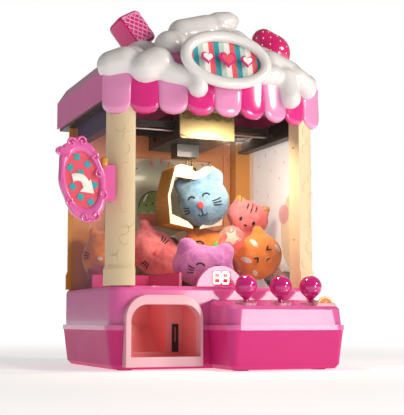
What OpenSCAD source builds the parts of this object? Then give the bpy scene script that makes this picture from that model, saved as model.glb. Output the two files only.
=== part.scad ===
// Toy claw crane machine: a sweet-shop cabinet with a bridge crane and three joysticks.
// Origin: centre of the cabinet base on the floor. +Z up, the front faces -Y.

/* [Base] */
// Width of the base over its rim band
base_w = 280; // [276:1:286]
// Depth of the cabinet base over its rim band
base_d = 228; // [224:1:232]
// Underside of the tub above the floor
tub_low = 1.2; // [1:0.1:2]
// Height of the tub and rim joint
rim_low = 47; // [45:0.5:48]
// Top of the rim band
rim_top = 53; // [52:0.5:55]
// Top of the deck that the cabinet stands on
deck_top = 99; // [98:0.5:101]
// Radius of the base's upright corners
base_r = 22; // [18:1:26]
// Wall thickness of the mouldings
wall = 3; // [2.5:0.1:3.5]

/* [Console] */
// Left side of the control console
console_left = -18; // [-22:1:-16]
// Front of the control console
console_front = -176; // [-180:1:-174]
// Height of the console top at the cabinet
console_high = 83; // [81:0.5:85]
// Fall of the console top from back to front in degrees
console_tilt = 8; // [6:0.5:9]
// Position of the joysticks across the console
stick_x = [19.5, 65.5, 106];
// Distance of the joysticks in front of the origin
stick_y = -143; // [-145:1:-141]
// Height of the joystick pivots
pivot_z = 68; // [67:0.5:69]
// Diameter of the joystick balls
ball_d = 27; // [25:0.5:28]

/* [Cabinet] */
// Distance of the column faces from the middle across the cabinet
post_x = 137; // [136:0.5:138]
// Distance of the column faces from the middle, front to back
post_y = 111; // [110:0.5:112]
// Outer radius of the quarter-round columns
post_r = 28; // [27:0.5:28.5]
// Underside of the ceiling
ceiling = 317; // [315:1:319]
// Thickness of the clear windows
glass_t = 1.6; // [1.2:0.1:2]

/* [Roof] */
// Half width of the roof
roof_x = 146; // [145:0.5:148]
// Back of the roof
roof_back = 117; // [116:0.5:120]
// Where the curved roof front starts on each side
roof_side_y = -95; // [-96:1:-94]
// How far the roof front bulges forwards
roof_bulge = 42; // [41:1:43]
// Underside of the roof fascia
roof_low = 320; // [320:0.5:322]
// Top edge of the roof fascia
fascia_top = 356; // [352:1:358]
// Number of scallops along the front
scallops = 9; // [9:2:9]
// Radius of a scallop's pillow
scallop_r = 20; // [19:0.5:22]

/* [Crane] */
// Position of the claw across the cabinet
claw_x = 12; // [10:1:14]
// Position of the claw, front to back
claw_y = 20; // [18:1:22]
// Bottom of the trolley housing
housing_low = 292; // [291:0.5:294]
// Top of the rails that the bridge rolls on
rail_top = 300; // [299:0.5:301]
// Radius of the bridge and trolley wheels
wheel_r = 4.5; // [4:0.1:4.6]
// Radius of the axles
axle_r = 1.5; // [1.4:0.05:1.6]
// Radial play of a turning shaft in its hole
play = 0.06; // [0.05:0.01:0.09]
// Radius of the hoist spool
spool_r = 8; // [7.5:0.5:8]
// Width of one claw jaw, front to back
jaw_w = 50; // [46:2:50]

/* [Hidden] */
$fn = 48;
tub_inset = 1.5;
deck_inset = 4.5;
console_w = base_w / 2 - console_left;
console_x = (base_w / 2 + console_left) / 2;
console_l = 96;
console_y = console_front + console_l / 2;
console_r = 16;
tilt_y = -112;
floor_z = deck_top - wall;
door_x0 = -122;
door_x1 = -26.5;
door_z0 = 4.6;
door_z1 = 88;
mouth_x0 = -116;
mouth_x1 = -29.5;
mouth_z0 = 16;
mouth_z1 = 77;
hole_x0 = -126;
hole_x1 = -49;
hole_y0 = -100;
hole_y1 = 6;
step_y = -60;
coin_x = 114;
coin_y = -164;
coin_r = 11;
coin_z = 76;
core_x = post_x - post_r;
core_y = post_y - post_r;
post_wall = 3;
bay_top = ceiling - deck_top;
hatch_w = 160;
hatch_z0 = 114;
hatch_z1 = 286;
hinge_x = -85;
hinge_y = 112;
arc_r = (roof_x * roof_x + roof_bulge * roof_bulge) / (2 * roof_bulge);
arc_y = roof_side_y - roof_bulge + arc_r;
arc_a = asin(roof_x / arc_r);
step_a = 2 * arc_a / scallops;
chord_r = arc_r * cos(step_a / 2);
half_chord = arc_r * sin(step_a / 2);
scallop_z = 302 + half_chord;
scallop_cut = sqrt(scallop_r * scallop_r - half_chord * half_chord);
beam_front = claw_y - 34;
beam_back = claw_y + 34;
beam_low = 308;
beam_top = 316;
rail_gap = 0.3;
bridge_axle_z = rail_top + rail_gap + wheel_r;
trolley_axle_z = beam_top + rail_gap + wheel_r;
trolley_axle_x = claw_x - 24;
housing_w = 74;
housing_d = 120;
housing_h = 38;
spool_y = claw_y + 1.5 + spool_r;
spool_z = 312;
chain_gap = 3.7;
chain_r = 1.2;
hub_top = 262;
pin_z = 248;
battery_x = 62;
battery_y = 20;
sign_x = -4;
sign_y = -141;
sign_z = 371.5;
sign_a = 60;
sign_b = 39;
sign_tilt = 15;
shop_x = -174.5;
shop_z = 219.5;
shop_turn = 11;
shop_a = 27;
shop_b = 50;
shop_y = -118;

magenta = [0.87, 0.16, 0.5];
light_pink = [0.92, 0.55, 0.75];
pale_pink = [0.88, 0.7, 0.75];
coral = [0.8, 0.3, 0.34];
cream = [0.92, 0.83, 0.7];
white = [0.93, 0.92, 0.9];
dark = [0.16, 0.12, 0.1];
grey = [0.55, 0.56, 0.58];
clear = [0.85, 0.92, 0.95, 0.3];

// ---- shared shapes ----

module rounded(w, d, r) {
    square([w - 2 * r, d], center = true);
    square([w, d - 2 * r], center = true);
    for (x = [-1, 1], y = [-1, 1])
        translate([x * (w / 2 - r), y * (d / 2 - r)])
            circle(r);
}

module main_print(inset) {
    rounded(base_w - 2 * inset, base_d - 2 * inset, base_r - inset);
}

module console_print(inset) {
    translate([console_x, console_y])
        rounded(console_w - 2 * inset, console_l - 2 * inset, console_r - inset);
}

module slab(z, h = 0.4) {
    translate([0, 0, z])
        linear_extrude(h)
            children();
}

module box(x0, x1, y0, y1, z0, z1) {
    translate([x0, y0, z0])
        cube([x1 - x0, y1 - y0, z1 - z0]);
}

module rod_x(r, x0, x1, y, z) {
    translate([x0, y, z])
        rotate([0, 90, 0])
            cylinder(h = x1 - x0, r = r);
}

module rod_y(r, x, y0, y1, z) {
    translate([x, y1, z])
        rotate([90, 0, 0])
            cylinder(h = y1 - y0, r = r);
}

// A plate that stands upright, drawn in X and Z, with its front at y0.
module upright(y0, y1) {
    translate([0, y1, 0])
        rotate([90, 0, 0])
            linear_extrude(y1 - y0)
                children();
}

module arch(x0, x1, z0, z1, r) {
    translate([x0, z0])
        square([x1 - x0, z1 - z0 - r]);
    translate([x0 + r, z0])
        square([x1 - x0 - 2 * r, z1 - z0]);
    for (x = [x0 + r, x1 - r])
        translate([x, z1 - r])
            circle(r);
}

module oval(a, b, n = 48) {
    polygon([for (i = [0 : n - 1]) [a * cos(360 * i / n), b * sin(360 * i / n)]]);
}

// Places its children on the sloping console top, z = 0 on the surface.
module on_console(x, y) {
    translate([x, y, console_high + (y - tilt_y) * tan(console_tilt)])
        rotate([console_tilt, 0, 0])
            children();
}

module pocket_slot(along_x, long, wide, z0, h) {
    translate([0, 0, z0])
        rotate(along_x ? 0 : 90) {
            linear_extrude(h) {
                square([long - wide, wide], center = true);
                for (s = [-1, 1])
                    translate([s * (long - wide) / 2, 0])
                        circle(wide / 2);
            }
        }
}

// ---- base ----

foot_spots = [[0, 0], [-112, -84], [-112, 86], [112, 86], [112, -148], [10, -148]];
screw_spots = [[-90, 86], [90, 86], [-124, 0], [124, -40], [62, -160]];

module base_tub() {
    color(magenta)
        difference() {
            union() {
                hull() {
                    slab(tub_low) main_print(12);
                    slab(tub_low + 5) main_print(7);
                    slab(rim_low - 0.4) main_print(tub_inset);
                }
                hull() {
                    slab(tub_low) console_print(12);
                    slab(tub_low + 5) console_print(7);
                    slab(rim_low - 0.4) console_print(tub_inset);
                }
            }
            difference() {
                slab(tub_low + wall, rim_low) {
                    main_print(10);
                    console_print(10);
                }
                box(battery_x - 38, battery_x + 38, battery_y - 34, battery_y + 34, 0, 24);
                for (p = screw_spots)
                    translate([p[0], p[1], 0])
                        cylinder(h = 40, r = 5);
                for (x = [34, 106], y = [-84, -42])
                    translate([x, y, 0])
                        cylinder(h = 44, r = 3);
            }
            box(battery_x - 36, battery_x + 36, battery_y - 32, battery_y + 32, -1, 22);
            for (p = foot_spots)
                translate([p[0], p[1], -1])
                    cylinder(h = tub_low + 2.8, r = 9.2);
            for (p = screw_spots)
                translate([p[0], p[1], -1]) {
                    cylinder(h = 7, r = 3.6);
                    cylinder(h = 60, r = 1.6);
                }
            upright(-150, -96) arch(door_x0 - 0.2, door_x1 + 0.2, door_z0 - 0.2, door_z1 + 0.2, 28);
            box(-68, -52, 95, 130, 24, 32);
            for (i = [0 : 6])
                translate([battery_x - 30 + i * 10, 72, -1])
                    pocket_slot(false, 18, 3, 0, 8);
        }
}

module feet() {
    color(dark)
        for (p = foot_spots)
            translate([p[0], p[1], 0])
                cylinder(h = tub_low + 1.8, r = 9);
}

module case_screws() {
    color(grey)
        for (p = screw_spots)
            translate([p[0], p[1], 3.5])
                difference() {
                    union() {
                        cylinder(h = 2.5, r = 3.2);
                        cylinder(h = 22, r = 1.5);
                    }
                    for (a = [0, 90])
                        rotate(a)
                            cube([3.6, 0.8, 2], center = true);
                }
}

module console_body(inset, drop) {
    hull() {
        slab(rim_top - 8) console_print(3 + inset);
        on_console(console_x, console_y)
            translate([0, 0, -4 - drop])
                linear_extrude(0.4)
                    rounded(console_w - 8 - 2 * inset, console_l - 9 - 2 * inset, console_r);
        on_console(console_x, console_y)
            translate([0, 0, -0.4 - drop])
                linear_extrude(0.4)
                    rounded(console_w - 15 - 2 * inset, console_l - 16 - 2 * inset, console_r);
    }
}

module deck_opening(grow) {
    square([2 * (core_x + grow), 2 * (post_y - 11 + grow)], center = true);
    square([2 * (post_x - 11 + grow), 2 * (core_y + grow)], center = true);
}

module deck_shell() {
    color(light_pink)
        difference() {
            union() {
                slab(rim_low, rim_top - rim_low) {
                    main_print(0);
                    console_print(0);
                }
                slab(rim_top, deck_top - rim_top - 5) main_print(deck_inset);
                hull() {
                    slab(deck_top - 6) main_print(deck_inset);
                    slab(deck_top - 2) main_print(deck_inset + 1.2);
                    slab(deck_top - 0.4) main_print(deck_inset + 4.5);
                }
                console_body(0, 0);
            }
            slab(rim_low - 5, deck_top - wall - rim_low + 5) main_print(deck_inset + wall);
            slab(rim_low - 5, 6) console_print(7);
            slab(rim_low - 5, 5) console_print(-6);
            console_body(wall, wall);
            slab(deck_top - 5, 10) deck_opening(0);
            upright(-150, -96) arch(door_x0 - 0.2, door_x1 + 0.2, door_z0 - 0.2, door_z1 + 0.2, 28);
            for (i = [0 : 2])
                on_console(stick_x[i], stick_y)
                    pocket_slot(i == 0, 13, 8, -8, 16);
            on_console(coin_x, coin_y)
                box(-12.4, 12.4, -1.9, 1.9, -8, 8);
        }
}

module prize_floor() {
    color(pale_pink)
        difference() {
            slab(floor_z - wall, wall) rounded(2 * (post_x - 8), 2 * (post_y - 8), 16);
            box(hole_x0, hole_x1, hole_y0, hole_y1, 80, 120);
        }
}

module prize_door_frame() {
    color(pale_pink)
        difference() {
            upright(-121, -106) arch(door_x0, door_x1, door_z0, door_z1, 27.8);
            upright(-130, -100) arch(mouth_x0, mouth_x1, mouth_z0, mouth_z1, 20);
        }
}

// The space that a prize falls and slides through, grown by g on every side.
module chute_space(g) {
    translate([mouth_x0 - g, 0, 0])
        rotate([90, 0, 90])
            linear_extrude(hole_x1 - 2 - mouth_x0 + 2 * g)
                polygon([[-105.8, mouth_z0 - g], [-40, 22 - g], [4 + g, 52 - g],
                         [4 + g, 92.8], [-98 - g, 92.8], [-98 - g, mouth_z1 + g], [-105.8, mouth_z1 + g]]);
    box(mouth_x0 - g, mouth_x1 + g, -105.8, step_y + g, mouth_z0 - g, mouth_z1 + g);
    box(hole_x0 + 2 - g, hole_x1 - 2 + g, -98 - g, 4 + g, 84 - g, 92.8);
}

module prize_chute() {
    color(coral)
        difference() {
            chute_space(2.2);
            translate([0, -0.2, 0]) chute_space(0);
            chute_space(0);
            box(hole_x0 + 2, hole_x1 - 2, -98, 4, 84, 99);
        }
}

module chute_slot_plate() {
    color(dark)
        difference() {
            box(-43, -35, step_y - 1.8, step_y, 20, 54);
            box(-40, -38, step_y - 3, step_y + 1, 32, 50);
        }
}

module chute_fence() {
    color([0.85, 0.15, 0.35, 0.6])
        union() {
            box(hole_x1 + 0.4, hole_x1 + 3, hole_y0, hole_y1 + 3, floor_z, floor_z + 20);
            box(hole_x0 + 0.3, hole_x1 + 1, hole_y1 + 0.4, hole_y1 + 3, floor_z, floor_z + 20);
        }
}

module display_housing() {
    color(light_pink)
        difference() {
            upright(-112, -107)
                translate([0, deck_top - 0.5])
                    intersection() {
                        translate([0, -6])
                            circle(31.5);
                        translate([-30.5, 0.5])
                            square([61, 26]);
                    }
            box(-11.5, 13.5, -113, -110, 101, 117.5);
        }
}

module display_panel() {
    color([0.75, 0.06, 0.08])
        box(-11.4, 13.4, -111.6, -110, 101.1, 117.4);
}

// ---- cabinet ----

module quarter(r) {
    intersection() {
        circle(r);
        square([r + 1, r + 1]);
    }
}

// One column in the corner with both coordinates positive.
module column() {
    color(cream)
        translate([core_x, core_y, 0])
            difference() {
                union() {
                    slab(deck_top, bay_top) quarter(post_r);
                    slab(deck_top, 20) quarter(post_r + 2);
                    slab(deck_top + 20, 3) quarter(post_r + 0.9);
                }
                translate([post_wall, post_wall, 0])
                    slab(deck_top - 1, bay_top + 2) quarter(post_r - 2 * post_wall);
                for (z = [160, 278])
                    rod_x(1.6, -1, post_wall + 1, 12, z);
            }
}

module column_front_left() {
    rotate(180) column();
}

module column_front_right() {
    mirror([0, 1, 0]) column();
}

module column_back_left() {
    mirror([1, 0, 0]) column();
}

module column_back_right() {
    column();
}

module side_window() {
    color(clear)
        box(post_x - 6, post_x - 6 + glass_t, -core_y + 0.3, core_y - 0.3, deck_top, ceiling);
}

module window_right() {
    side_window();
}

module window_left() {
    mirror([1, 0, 0]) side_window();
}

module window_front() {
    color(clear)
        box(-core_x + 0.3, core_x - 0.3, -post_y + 4.4, -post_y + 4.4 + glass_t, deck_top, ceiling);
}

module back_frame() {
    color(cream)
        difference() {
            union() {
                box(-core_x + 0.2, core_x - 0.2, 104, 107, deck_top, ceiling);
                for (x = [-1, 1])
                    box(x * 103 - 5, x * 103 + 5, 101, 104, deck_top, ceiling);
                for (z = [150, 250])
                    box(hinge_x - 4.5, hinge_x + 4.5, 107, hinge_y + 3.5, z - 15, z - 6);
            }
            box(-hatch_w / 2, hatch_w / 2, 90, 120, hatch_z0, hatch_z1);
            for (z = [150, 250])
                translate([hinge_x, hinge_y, z - 16])
                    cylinder(h = 11, r = 2 + play);
            for (x = [-1, 1], z = [130, 210, 290])
                rod_y(1.6, x * 103, 98, 110, z);
        }
}

module loading_door() {
    color(cream)
        difference() {
            union() {
                box(-hatch_w / 2 + 0.6, hatch_w / 2 - 0.6, 104.4, 106.8, hatch_z0 + 0.6, hatch_z1 - 0.6);
                box(hinge_x + 1, hatch_w / 2 + 5, 107.4, 109.4, hatch_z0 - 5, hatch_z1 + 5);
                box(-hatch_w / 2 + 2, hatch_w / 2 - 2, 106.8, 107.4, hatch_z0 + 2, hatch_z1 - 2);
                for (z = [150, 250]) {
                    translate([hinge_x, hinge_y, z - 5.5])
                        cylinder(h = 12, r = 3.2);
                    box(hinge_x, hinge_x + 6, 107.4, 111, z - 5.5, z + 6.5);
                }
                box(62, 74, 109.4, 117, 190, 210);
            }
            for (z = [150, 250])
                box(hinge_x - 1, hinge_x + 6, 107, 120, z - 15.5, z - 5.6);
        }
    color(cream)
        for (z = [150, 250])
            translate([hinge_x, hinge_y, z - 14])
                cylinder(h = 9, r = 2);
}

module ceiling_frame() {
    color(dark)
        difference() {
            slab(ceiling, 7) roof_print(wall + 0.1);
            slab(ceiling - 1, 9) {
                translate([0, 7.5])
                    square([216, 189], center = true);
                square([246, 2 * core_y - 2], center = true);
            }
        }
}

module bridge_rails() {
    color(grey)
        for (s = [-1, 1])
            mirror([s < 0 ? 1 : 0, 0, 0]) {
                box(112.5, 125.5, -core_y + 1.5, core_y - 1.5, rail_top - 4, rail_top);
                box(123, 125.5, -core_y + 1.5, core_y - 1.5, rail_top, ceiling);
            }
}

// ---- roof ----

module roof_print(inset) {
    r = arc_r - inset;
    x = roof_x - inset;
    polygon(concat(
        [[x, roof_back - inset], [-x, roof_back - inset]],
        [for (i = [0 : scallops]) [r * sin(step_a * i - arc_a), arc_y - r * cos(step_a * i - arc_a)]]));
}

module roof_dome(inset) {
    hull() {
        slab(fascia_top - 0.4) roof_print(inset);
        slab(fascia_top + 17 - inset) scale([0.93, 0.93]) roof_print(inset);
        slab(fascia_top + 32 - inset) scale([0.78, 0.78]) roof_print(inset);
        slab(fascia_top + 40 - inset) scale([0.56, 0.56]) roof_print(inset);
    }
}

module roof_shell() {
    color(light_pink)
        difference() {
            union() {
                slab(roof_low, fascia_top - roof_low) roof_print(0);
                roof_dome(0);
            }
            slab(roof_low - 1, fascia_top - roof_low + 1) roof_print(wall);
            roof_dome(wall);
        }
}

module scallop_row(first, last) {
    for (i = [first : 2 : last])
        translate([0, arc_y, 0])
            rotate(step_a * (i + 0.5) - arc_a)
                translate([0, -chord_r, 0])
                    intersection() {
                        translate([0, scallop_cut, scallop_z]) {
                            sphere(scallop_r);
                            cylinder(h = 350 - scallop_z, r = scallop_r);
                        }
                        box(-30, 30, -30, 0, 280, 360);
                    }
}

module scallops_light() {
    color(light_pink)
        difference() {
            scallop_row(0, scallops - 1);
            sign_space();
        }
}

module scallops_dark() {
    color(magenta)
        difference() {
            scallop_row(1, scallops - 2);
            sign_space();
        }
}

module lobe(a, b) {
    hull() {
        translate([a[0], a[1], a[2]])
            sphere(a[3], $fn = 20);
        translate([b[0], b[1], b[2]])
            sphere(b[3], $fn = 20);
    }
}

module icing_lobes() {
    lobe([-134, -92, 363, 18], [-118, -98, 367, 20]);
    lobe([-98, -114, 358, 20], [-84, -114, 364, 22]);
    lobe([-72, -122, 353, 15], [-46, -135, 347, 12]);
    lobe([-43, -138, 346, 13], [-41, -141, 334, 12.5]);
    lobe([-60, -92, 395, 19], [-50, -80, 400, 19]);
    lobe([-34, -68, 420, 18], [0, -66, 430, 18]);
    lobe([16, -68, 436, 17], [29, -68, 441, 14]);
    lobe([32, -69, 446, 8], [41, -70, 445, 5]);
    lobe([-34, -126, 362, 14], [34, -126, 362, 14]);
    lobe([44, -129, 358, 12], [64, -124, 361, 15]);
    lobe([84, -120, 360, 15], [88, -129, 334, 14]);
    lobe([104, -108, 364, 17], [120, -106, 355, 17]);
    lobe([126, -98, 360, 15], [136, -82, 360, 13]);
    lobe([68, -108, 378, 20], [100, -98, 370, 20]);
    lobe([66, -84, 384, 25], [106, -66, 374, 24]);
    lobe([-78, -44, 384, 28], [84, -36, 384, 26]);
    lobe([-104, -78, 370, 24], [-44, 4, 388, 24]);
    lobe([30, -80, 402, 26], [44, -16, 398, 26]);
    lobe([0, -104, 384, 28], [0, -34, 404, 30]);
}

module icing() {
    color(white)
        difference() {
            icing_lobes();
            slab(roof_low - 2, fascia_top - roof_low + 2) roof_print(0);
            roof_dome(0);
            scallop_clear();
            sign_space();
            wafer_block(0.2);
            strawberry_body(0.2);
        }
}

module scallop_clear() {
    for (i = [0 : scallops - 1])
        translate([0, arc_y, 0])
            rotate(step_a * (i + 0.5) - arc_a)
                translate([0, -chord_r + scallop_cut, 280])
                    cylinder(h = 70.2, r = scallop_r + 0.15);
}

module on_sign() {
    translate([sign_x, sign_y, sign_z])
        rotate([-sign_tilt, 0, 0])
            children();
}

module sign_space() {
    on_sign()
        upright(-8, 10.1)
            oval(sign_a + 0.3, sign_b + 0.3);
}

module sign_bezel() {
    color(white)
        on_sign()
            upright(0, 10)
                difference() {
                    oval(sign_a, sign_b);
                    oval(sign_a - 13, sign_b - 12);
                }
}

module sign_plate() {
    color([0.2, 0.62, 0.66])
        on_sign()
            upright(3, 7)
                oval(sign_a - 13, sign_b - 12);
}

module on_wafer() {
    translate([-87, -30, 424.5])
        rotate([-20, -30, 22])
            children();
}

module wafer_block(g) {
    on_wafer()
        cube([37 + 2 * g, 32 + 2 * g, 46 + 2 * g], center = true);
}

module wafer() {
    color(magenta)
        difference() {
            wafer_block(0);
            roof_dome(0);
            on_wafer()
                for (i = [0 : 2], j = [0 : 3])
                    translate([-11.4 + 11.4 * i, -16, -16.2 + 10.8 * j])
                        cube([8.8, 1.6, 8.2], center = true);
        }
}

module strawberry_body(g) {
    hull() {
        translate([93, -66, 407])
            sphere(25 + g, $fn = 36);
        translate([80, -68, 424])
            sphere(14 + g, $fn = 36);
    }
}

module strawberry() {
    color(magenta)
        difference() {
            strawberry_body(0);
            roof_dome(0);
        }
}

// ---- shop sign on the front left column ----

// Draws on the face of the shop sign, x to the right and y up, with its lean.
module on_shop_sign() {
    translate([shop_x, shop_z])
        rotate(shop_turn)
            children();
}

module shop_sign_frame() {
    color(light_pink)
        upright(shop_y, shop_y + 9)
            difference() {
                union() {
                    on_shop_sign() {
                        oval(shop_a, shop_b);
                        for (s = [-1, 1])
                            translate([s * 5, shop_b - 1])
                                circle(5);
                        translate([0, -shop_b + 1])
                            circle(6);
                    }
                    translate([shop_x - 21, shop_z + 33])
                        rotate(28) {
                            for (s = [-1, 1])
                                translate([s * 4, 2])
                                    circle(5.4);
                            polygon([[-8.6, -1], [0, -11], [8.6, -1], [4, 4], [-4, 4]]);
                        }
                }
                on_shop_sign()
                    oval(shop_a - 6.5, shop_b - 16);
            }
}

module shop_sign_plate() {
    color(coral)
        upright(shop_y + 3, shop_y + 7)
            on_shop_sign()
                oval(shop_a - 6.5, shop_b - 16);
}

module clover(x, z, r) {
    for (a = [90, 210, 330])
        translate([x + r * cos(a), z + r * sin(a)])
            circle(r * 0.95);
}

module shop_sign_relief() {
    color([0.15, 0.6, 0.68])
        upright(shop_y + 2, shop_y + 3)
            on_shop_sign() {
                clover(0, 23, 4.2);
                clover(-10, 12, 3.4);
                clover(9, 11, 3.4);
            }
    color(white)
        upright(shop_y + 2, shop_y + 3)
            on_shop_sign() {
                difference() {
                    translate([1, -4])
                        circle(14);
                    translate([1, -4])
                        circle(8.5);
                    translate([-20, -4])
                        square([40, 30]);
                }
                polygon([[5, -4], [20, -4], [12.3, 5]]);
            }
}

module shop_sign_bracket() {
    color(cream)
        difference() {
            union() {
                box(shop_x + 10, -133, shop_y + 9, shop_y + 12, shop_z - 22, shop_z + 20);
                box(-post_x - 5, -post_x - 0.4, shop_y + 9, -core_y - 4, shop_z - 22, shop_z + 20);
            }
            translate([-core_x, -core_y, 0])
                cylinder(h = 400, r = post_r + 0.2);
        }
}

// ---- controls ----

module joystick_bezels() {
    color(light_pink)
        for (i = [0 : 2])
            on_console(stick_x[i], stick_y)
                difference() {
                    union() {
                        cylinder(h = 1.6, r = 11.5);
                        for (a = [0 : 60 : 300])
                            rotate(a)
                                translate([9.5, 0, 0])
                                    cylinder(h = 1.6, r = 4.2);
                    }
                    pocket_slot(i == 0, 13, 8, -1, 4);
                }
}

// A yoke that hangs under the console top; the pivot runs along Y, or along X when turned.
module yoke(turn) {
    rotate(turn) {
        difference() {
            union() {
                for (s = [-1, 1])
                    box(-5, 5, s * 8 - 1.5, s * 8 + 1.5, -5, 5);
                difference() {
                    box(-14, 14, -9.5, 9.5, -7, -5);
                }
            }
            rod_y(2 + play, 0, -12, 12, 0);
        }
    }
}

// Height just under the sloping top of the console, at depth y.
function console_under(y) = console_high + (y - tilt_y) * tan(console_tilt) - wall - 0.5;

module joystick_brackets() {
    color(dark)
        for (i = [0 : 2])
            translate([stick_x[i], stick_y, pivot_z])
                yoke(i == 0 ? 0 : 90);
    color(dark) {
        box(stick_x[0] - 18, stick_x[2] + 18, stick_y - 15, stick_y + 15, pivot_z - 10, pivot_z - 7);
        for (x = [stick_x[0] + 23, stick_x[2] - 20], y = [stick_y - 12, stick_y + 12])
            translate([x, y, pivot_z - 8])
                cylinder(h = console_under(y - 3) - pivot_z + 8, r = 3);
    }
}

module joystick(i) {
    color(magenta)
        translate([stick_x[i], stick_y, pivot_z])
            rotate(i == 0 ? 0 : 90) {
                rod_y(2, 0, -10.5, 10.5, 0);
                translate([0, 0, -4])
                    cylinder(h = 30, r = 3);
                sphere(4.4);
                translate([0, 0, 18])
                    cylinder(h = 6, r1 = 7, r2 = 3);
                translate([0, 0, 31])
                    sphere(ball_d / 2);
            }
}

module joystick_left() {
    joystick(0);
}

module joystick_middle() {
    joystick(1);
}

module joystick_right() {
    joystick(2);
}

module coin_bezel() {
    color(pale_pink)
        on_console(coin_x, coin_y)
            difference() {
                union() {
                    box(-13, 13, -4.4, 4.4, 0, 2);
                    box(-12, 12, -3.4, 3.4, 2, 3.6);
                }
                box(-11.8, 11.8, -1.7, 1.7, -1, 5);
            }
}

module token() {
    color([0.95, 0.55, 0.12])
        difference() {
            rod_y(coin_r, coin_x, coin_y - 0.9, coin_y + 0.9, coin_z);
            rod_y(coin_r - 2, coin_x, coin_y - 2, coin_y - 0.6, coin_z);
        }
}

module power_switch() {
    color(dark) {
        box(-65, -57, 107, 112, 25, 31);
        box(-63, -59, 112, 116, 26, 30);
    }
}

module battery_cover() {
    color(magenta)
        difference() {
            translate([battery_x, battery_y, 0])
                box(-35.7, 35.7, -31.7, 31.7, tub_low, tub_low + 2.5);
            for (i = [0 : 4])
                translate([battery_x, battery_y - 24 + 3 * i, 0])
                    box(-8, 8, 0, 1, 0, tub_low + 1);
        }
}

module batteries() {
    color(grey)
        for (i = [0 : 3])
            rod_y(7.1, battery_x - 23.4 + i * 15.6, battery_y - 25, battery_y + 24, 12.5);
    color(grey)
        for (i = [0 : 3])
            rod_y(2.7, battery_x - 23.4 + i * 15.6, battery_y - 27, battery_y - 24.9, 12.5);
}

module circuit_board() {
    color([0.1, 0.42, 0.25])
        box(30, 110, -88, -38, 44, 45.6);
    color(dark) {
        box(40, 56, -78, -62, 45.6, 48.6);
        box(66, 74, -70, -58, 45.6, 47.6);
        translate([90, -60, 45.6])
            cylinder(h = 9, r = 4);
    }
}

module speaker() {
    color(dark)
        translate([40, 40, floor_z - wall]) {
            translate([0, 0, -5])
                cylinder(h = 5, r = 22);
            translate([0, 0, -13])
                cylinder(h = 8, r1 = 10, r2 = 20);
            translate([0, 0, -20])
                cylinder(h = 7, r = 11);
        }
}

// ---- crane ----

module bridge() {
    color(dark)
        difference() {
            union() {
                for (y = [beam_front, beam_back])
                    box(-109.5, 109.5, y - 4, y + 4, beam_low, beam_top);
                for (s = [-1, 1]) {
                    box(s * 110.5 - 1.5, s * 110.5 + 1.5, beam_front - 8, beam_back + 8, rail_top + 1, 318);
                    translate([s * 115, beam_back, 0])
                        box(-4, 4, -6, 6, rail_top + rail_gap, rail_top + 5);
                }
            }
            rod_x(axle_r + play, -130, 130, beam_front, bridge_axle_z);
        }
}

module bridge_axle() {
    color(grey)
        rod_x(axle_r, -121.5, 121.5, beam_front, bridge_axle_z);
    color(dark)
        for (s = [-1, 1])
            rod_x(wheel_r, s * 117 - 3, s * 117 + 3, beam_front, bridge_axle_z);
}

module trolley_ways() {
    x0 = claw_x - housing_w / 2;
    x1 = claw_x + housing_w / 2;
    z1 = housing_low + housing_h;
    for (y = [beam_front, beam_back]) {
        box(x0 - 1, x1 + 1, y - 4.6, y + 4.6, bridge_axle_z - 4, beam_top + rail_gap);
        box(x0 - 1, x1 - 19, y - 4.6, y + 4.6, beam_top, z1 + 1);
        box(x1 - 3, x1 + 1, y - 4.6, y + 4.6, beam_top, z1 + 1);
    }
}

module trolley_housing() {
    x0 = claw_x - housing_w / 2;
    x1 = claw_x + housing_w / 2;
    y0 = claw_y - housing_d / 2;
    y1 = claw_y + housing_d / 2;
    z1 = housing_low + housing_h;
    color(dark)
        difference() {
            union() {
                box(x0, x1, y0, y1, housing_low, z1);
                box(claw_x - 22, claw_x + 9, claw_y - 12, claw_y + 12, 275, housing_low);
            }
            box(x0 + 2.5, x1 - 2.5, y0 + 2.5, y1 - 2.5, housing_low + 2.5, z1 + 1);
            trolley_ways();
            for (s = [-1, 1])
                translate([claw_x + s * chain_gap, claw_y, 270])
                    cylinder(h = 40, r = chain_r + 0.6);
        }
}

module trolley_hangers() {
    x0 = claw_x - housing_w / 2;
    x1 = claw_x + housing_w / 2;
    z0 = housing_low + 2.5;
    color(dark)
        difference() {
            union() {
                for (y = [beam_front - 8, beam_back + 8])
                    box(x0 + 2.5, x0 + 26, y - 1.5, y + 1.5, z0, trolley_axle_z + 4);
                for (x = [claw_x - 16.5, claw_x + 16.5])
                    box(x - 1.5, x + 1.5, spool_y - 9, spool_y + 9, z0, spool_z + 6);
                for (s = [-1, 1]) {
                    translate([0, claw_y + s * 42, 0])
                        box(x1 - 18, x1 - 4, -1.5, 1.5, z0, beam_top + 3);
                    translate([0, claw_y + s * 37, 0])
                        box(x1 - 18, x1 - 4, -6, 6, beam_top + rail_gap, beam_top + 3);
                }
            }
            trolley_ways();
            rod_y(axle_r + play, trolley_axle_x, beam_front - 12, beam_back + 12, trolley_axle_z);
            rod_x(2 + play, claw_x - 20, claw_x + 20, spool_y, spool_z);
        }
}

module trolley_cover() {
    color([0.75, 0.7, 0.55])
        upright(claw_y - housing_d / 2 - 3, claw_y - housing_d / 2)
            translate([claw_x, housing_low + housing_h / 2])
                rounded(housing_w + 2, housing_h + 2, 4);
}

module trolley_axle() {
    color(grey)
        rod_y(axle_r, trolley_axle_x, beam_front - 10.5, beam_back + 10.5, trolley_axle_z);
    color(dark)
        for (y = [beam_front, beam_back])
            rod_y(wheel_r, trolley_axle_x, y - 3, y + 3, trolley_axle_z);
}

module hoist_motor() {
    color(grey) {
        rod_x(9, claw_x + 18.2, claw_x + 34, spool_y, spool_z + 0.5);
        box(claw_x + 18.2, claw_x + 22, spool_y - 8, spool_y + 8, housing_low + 2.5, spool_z - 5);
    }
}

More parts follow.
